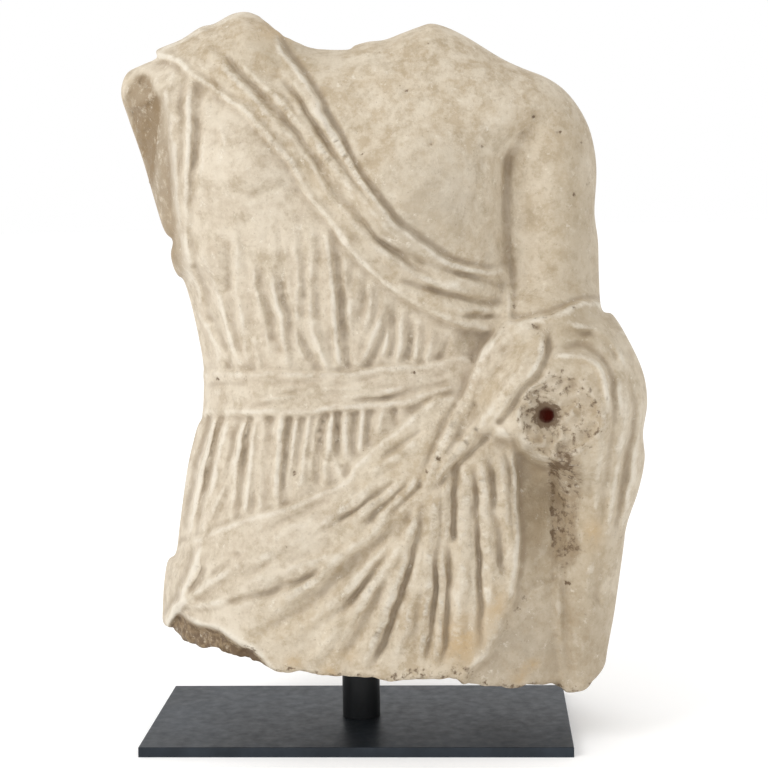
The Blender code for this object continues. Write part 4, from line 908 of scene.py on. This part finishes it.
def world_to_drawing(points):
    return points / UNIT - [0, 0, seat_height() / UNIT - DRAWN_SEAT]


def seat_height():
    """The marble's underside where the post enters it: the socket's depth below the post's top."""
    return POST_BOX[1][2] - SOCKET_DEPTH * UNIT


def add_object(name, data, finish=None):
    made = bpy.data.objects.new(name, data)
    bpy.context.scene.collection.objects.link(made)
    if finish:
        data.materials.append(finish)
    return made


def thinned(mesh, triangles):
    """The same skin with fewer triangles, and more of them where it bends."""
    whole = add_object("whole_skin", mesh)
    thin = whole.modifiers.new("Fewer facets", "DECIMATE")
    thin.ratio = triangles / (2 * len(mesh.polygons))
    made = bpy.data.meshes.new_from_object(whole.evaluated_get(bpy.context.evaluated_depsgraph_get()))
    bpy.data.objects.remove(whole)
    return made


def build_marble():
    figure = Figure()
    points, faces = figure_mesh(figure)
    mesh = bpy.data.meshes.new("torso_skin")
    world = points * UNIT + [0, 0, seat_height() - DRAWN_SEAT * UNIT]
    mesh.from_pydata(world.tolist(), [], faces.tolist())
    mesh = thinned(mesh, TRIANGLES)
    mesh.name = "torso_skin"
    mesh.shade_smooth()
    co = np.empty(3 * len(mesh.vertices))
    mesh.vertices.foreach_get("co", co)
    p = world_to_drawing(co.reshape(-1, 3))
    paint(mesh, figure, p)
    torso = add_object("torso_carving", mesh, marble_material())
    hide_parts("marble_torso")
    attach(torso, "root")


def paint(mesh, figure, p):
    """Store what the stone's colour follows: dirt and painted shade in the hollows, painted highlight on the
    crests, breaks, stains, grey patches and painted shade.
    """
    x, y, z = p.T
    u, v, _ = drawn_at(x, y, z)
    behind = smooth(-25, 25, y)
    for name, reach in (("hollow", 5), ("crease", 3)):
        depth = 0
        for sheet, share in ((figure.front.a, 1 - behind), (figure.back.a, behind)):
            depth = depth + share * Sheet(blurred(sheet, reach) - blurred(sheet, 1)).read(u, v)
        store(mesh, name, depth)
    low = np.interp(x, figure.hem[:, 0], figure.hem[:, 1])
    under = 1 - smooth(2, 9, z - low)
    for name, sheet in tones().items():
        amount = sheet.read(u, v) * (1 - behind)
        store(mesh, name, np.maximum(amount, 0.3 * under) if name == "soil_and_shade" else amount)


def store(mesh, name, values):
    stored = mesh.attributes.new(name, "FLOAT", "POINT")
    stored.data.foreach_set("value", np.ascontiguousarray(values, np.float32))


class Nodes:
    """Short ways to add a material's nodes."""

    MIX_FACTOR, MIX_A, MIX_B = 0, 6, 7  # the mix node's sockets for colours
    MIX_RESULT = 2

    def __init__(self, name):
        self.material = bpy.data.materials.new(name)
        self.material.use_nodes = True
        self.tree = self.material.node_tree
        self.shader = self.tree.nodes["Principled BSDF"]
        self.place = self.add("ShaderNodeTexCoord", "Object", {})

    def link(self, source, socket):
        self.tree.links.new(source, socket)

    def add(self, kind, output, inputs, **settings):
        """A new node's output. Its inputs are numbers or the outputs of other nodes."""
        node = self.tree.nodes.new(kind)
        for name, value in settings.items():
            setattr(node, name, value)
        for name, value in inputs.items():
            if isinstance(value, bpy.types.NodeSocket):
                self.link(value, node.inputs[name])
            else:
                node.inputs[name].default_value = value
        return node.outputs[output]

    def noise(self, scale, detail=6.0, roughness=0.6, place=None):
        inputs = {"Scale": scale, "Detail": detail, "Roughness": roughness, "Vector": place or self.place}
        return self.add("ShaderNodeTexNoise", "Fac", inputs)

    def moved(self, by):
        """The place that textures read, moved, so that two of one kind differ."""
        return self.add("ShaderNodeVectorMath", "Vector", {0: self.place, 1: by})

    def spots(self, scale):
        return self.add("ShaderNodeTexVoronoi", "Distance", {"Scale": scale, "Vector": self.place})

    def attribute(self, name):
        return self.add("ShaderNodeAttribute", "Fac", {}, attribute_name=name)

    def span(self, value, low, high, to_low=0.0, to_high=1.0):
        inputs = {"Value": value, "From Min": low, "From Max": high, "To Min": to_low, "To Max": to_high}
        return self.add("ShaderNodeMapRange", "Result", inputs)

    def sum(self, a, b):
        return self.add("ShaderNodeMath", "Value", {0: a, 1: b}, operation="ADD")

    def product(self, a, b):
        return self.add("ShaderNodeMath", "Value", {0: a, 1: b}, operation="MULTIPLY")

    def mix(self, amount, a, b):
        """Colour a, with an amount of colour b over it."""
        a, b = ((*colour, 1.0) if isinstance(colour, tuple) else colour for colour in (a, b))
        inputs = {self.MIX_FACTOR: amount, self.MIX_A: a, self.MIX_B: b}
        return self.add("ShaderNodeMix", self.MIX_RESULT, inputs, data_type="RGBA")

    def bump(self, height, distance, strength, below=None):
        inputs = {"Height": height, "Distance": distance, "Strength": strength}
        if below is not None:
            inputs["Normal"] = below
        return self.add("ShaderNodeBump", "Normal", inputs)


def marble_material():
    """Cream marble: mottled, with dirt and painted shade in its creases, pale worn edges with a painted
    highlight on the crests, and brown where it is broken.
    """
    n = Nodes("weathered_marble")
    cloud = n.span(n.noise(9, 5), 0.38, 0.62)
    patch = n.span(n.noise(30, 8, 0.7), 0.46, 0.57)
    mottle = n.span(n.noise(85, 8, 0.72), 0.44, 0.58)
    tan = n.span(n.noise(48, 7, 0.7, n.moved((4, 2, 1))), 0.49, 0.60)
    grain = n.noise(165, 4, 0.66, n.moved((2, 5, 3)))
    colour = n.mix(cloud, CREAM, WARM)
    colour = n.mix(n.product(n.attribute("tunic"), 0.75), colour, TUNIC)
    for patches, share, tone in ((patch, 0.50, PALE), (tan, 0.46, SHADE), (mottle, 0.48, PALE)):
        colour = n.mix(n.product(patches, share), colour, tone)
    # Grey patches, painted shade at the shade places, and ochre stains
    for name, cloudy, tone in (("grey", n.span(n.noise(24, 7, 0.7), 0.3, 0.62), GREY),
                               ("shade", n.span(n.noise(18, 8, 0.7), 0.2, 0.5), SHADE),
                               ("ochre", n.span(n.noise(60, 8, 0.75), 0.34, 0.54), OCHRE)):
        colour = n.mix(n.product(n.attribute(name), cloudy), colour, tone)
    # Painted shade with dirt: the hollows and creases are darkened towards brown
    blotchy_dirt_and_shade = n.span(n.noise(70, 8, 0.7), 0.3, 0.7, -1.2, 1.2)
    hollow_dirt_and_shade = n.sum(n.attribute("hollow"), blotchy_dirt_and_shade)
    colour = n.mix(n.span(hollow_dirt_and_shade, 0.6, 5.5, 0.0, 0.38), colour, DIRT_AND_SHADE)
    crease = n.sum(n.attribute("crease"), n.product(blotchy_dirt_and_shade, 0.3))
    colour = n.mix(n.span(crease, 0.3, 2.2, 0.0, 0.34), colour, DIRT_AND_SHADE)
    # Painted highlight with wear: the crests, where the crease depth is below 0, are made chalky white
    worn = n.sum(n.attribute("crease"), n.span(n.noise(55, 9, 0.8), 0.38, 0.62, -0.6, 1.3))
    colour = n.mix(n.span(worn, -2.0, -0.2, 0.60, 0.0), colour, CHALK_AND_HIGHLIGHT)
    # Breaks in brown; the recess below the stump gets this brown as painted shade as well
    broken = n.product(n.attribute("broken"), n.span(n.noise(90, 9, 0.75), 0.30, 0.50))
    colour = n.mix(broken, colour, BREAK)
    # Soil, with the painted shade of the dark lines under edges and in creases
    soil_and_shade = n.sum(grain, n.product(n.attribute("soil_and_shade"), 0.6))
    colour = n.mix(n.span(soil_and_shade, 0.68, 0.82, 0.0, 0.9), colour, SOIL_AND_SHADE_BROWN)
    colour = n.mix(n.span(n.noise(230, 6, 0.75), 0.59, 0.70, 0.0, 0.45), colour, DIRT_AND_SHADE)
    colour = n.mix(n.span(n.noise(95, 9, 0.8), 0.59, 0.66, 0.0, 0.6), colour, CHALK_AND_HIGHLIGHT)
    colour = n.mix(n.attribute("rust"), colour, RUST)
    n.link(colour, n.shader.inputs["Base Color"])
    n.link(n.span(mottle, 0, 1, 0.56, 0.76), n.shader.inputs["Roughness"])
    n.link(n.span(n.attribute("rust"), 0, 1, 0.5, 0.0), n.shader.inputs["Specular IOR Level"])
    normal = n.bump(n.noise(60, 8, 0.7), 0.003, 0.6)
    normal = n.bump(n.noise(130, 8, 0.75), 0.002, 0.7, normal)
    normal = n.bump(n.noise(420, 8, 0.8), 0.0008, 0.7, normal)
    normal = n.bump(n.span(n.spots(260), 0.0, 0.35), 0.0006, 0.3, normal)
    n.link(normal, n.shader.inputs["Normal"])
    return n.material


def steel_material(name, base, roughness):
    """Blackened steel with a faint cloudy wear."""
    n = Nodes(name)
    cloud = n.noise(14, 6, 0.65)
    n.link(n.mix(n.span(cloud, 0.4, 0.7), base, tuple(1.8 * c for c in base)), n.shader.inputs["Base Color"])
    n.link(n.span(n.noise(90, 6), 0.3, 0.7, roughness - 0.06, roughness + 0.08), n.shader.inputs["Roughness"])
    n.shader.inputs["Metallic"].default_value = 0.6
    n.link(n.bump(n.noise(900, 3), 0.0001, 0.5), n.shader.inputs["Normal"])
    return n.material


def stage():
    """A pale floor, soft light from the upper left front, and a white room."""
    mesh = bpy.data.meshes.new("floor")
    shape = bmesh.new()
    bmesh.ops.create_circle(shape, cap_ends=True, segments=96, radius=FLOOR_RADIUS)
    shape.to_mesh(mesh)
    shape.free()
    n = Nodes("floor_paint")
    n.shader.inputs["Base Color"].default_value = (0.95, 0.95, 0.95, 1)
    n.shader.inputs["Roughness"].default_value = 0.9
    n.shader.inputs["Emission Color"].default_value = (1.0, 1.0, 1.0, 1)
    n.shader.inputs["Emission Strength"].default_value = FLOOR_GLOW
    add_object("floor", mesh, n.material)

    world = bpy.data.worlds.new("room")
    world.use_nodes = True
    world.node_tree.nodes["Background"].inputs["Color"].default_value = (1.0, 1.0, 1.0, 1)
    world.node_tree.nodes["Background"].inputs["Strength"].default_value = WORLD_STRENGTH
    bpy.context.scene.world = world
    for name, place, size, power in LIGHTS:
        light = bpy.data.lights.new(name, "AREA")
        light.size = size
        light.energy = power
        lamp = add_object(name, light)
        lamp.location = place
        lamp.rotation_euler = (Vector(place) - AIM).to_track_quat("Z", "Y").to_euler()


def camera():
    """The photograph's camera."""
    data = bpy.data.cameras.new("camera")
    data.sensor_width = SENSOR
    data.lens = LENS
    eye = add_object("camera", data)
    ahead = Vector((math.sin(YAW) * math.cos(PITCH), math.cos(YAW) * math.cos(PITCH), math.sin(PITCH)))
    turn = ahead.to_track_quat("-Z", "Y").to_matrix() @ Matrix.Rotation(ROLL, 3, "Z").transposed()
    eye.matrix_world = Matrix.Translation(EYE) @ turn.to_4x4()
    bpy.context.scene.camera = eye


build_marble()
plate_finish = steel_material("plate_steel", (0.018, 0.023, 0.030), 0.42)
post_finish = steel_material("post_steel", (0.010, 0.011, 0.012), 0.34)
for node, finish in (("base_plate", plate_finish), ("support_post", post_finish)):
    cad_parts[node].data.materials.clear()
    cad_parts[node].data.materials.append(finish)
stage()
camera()
bpy.context.scene.view_settings.view_transform = "Standard"
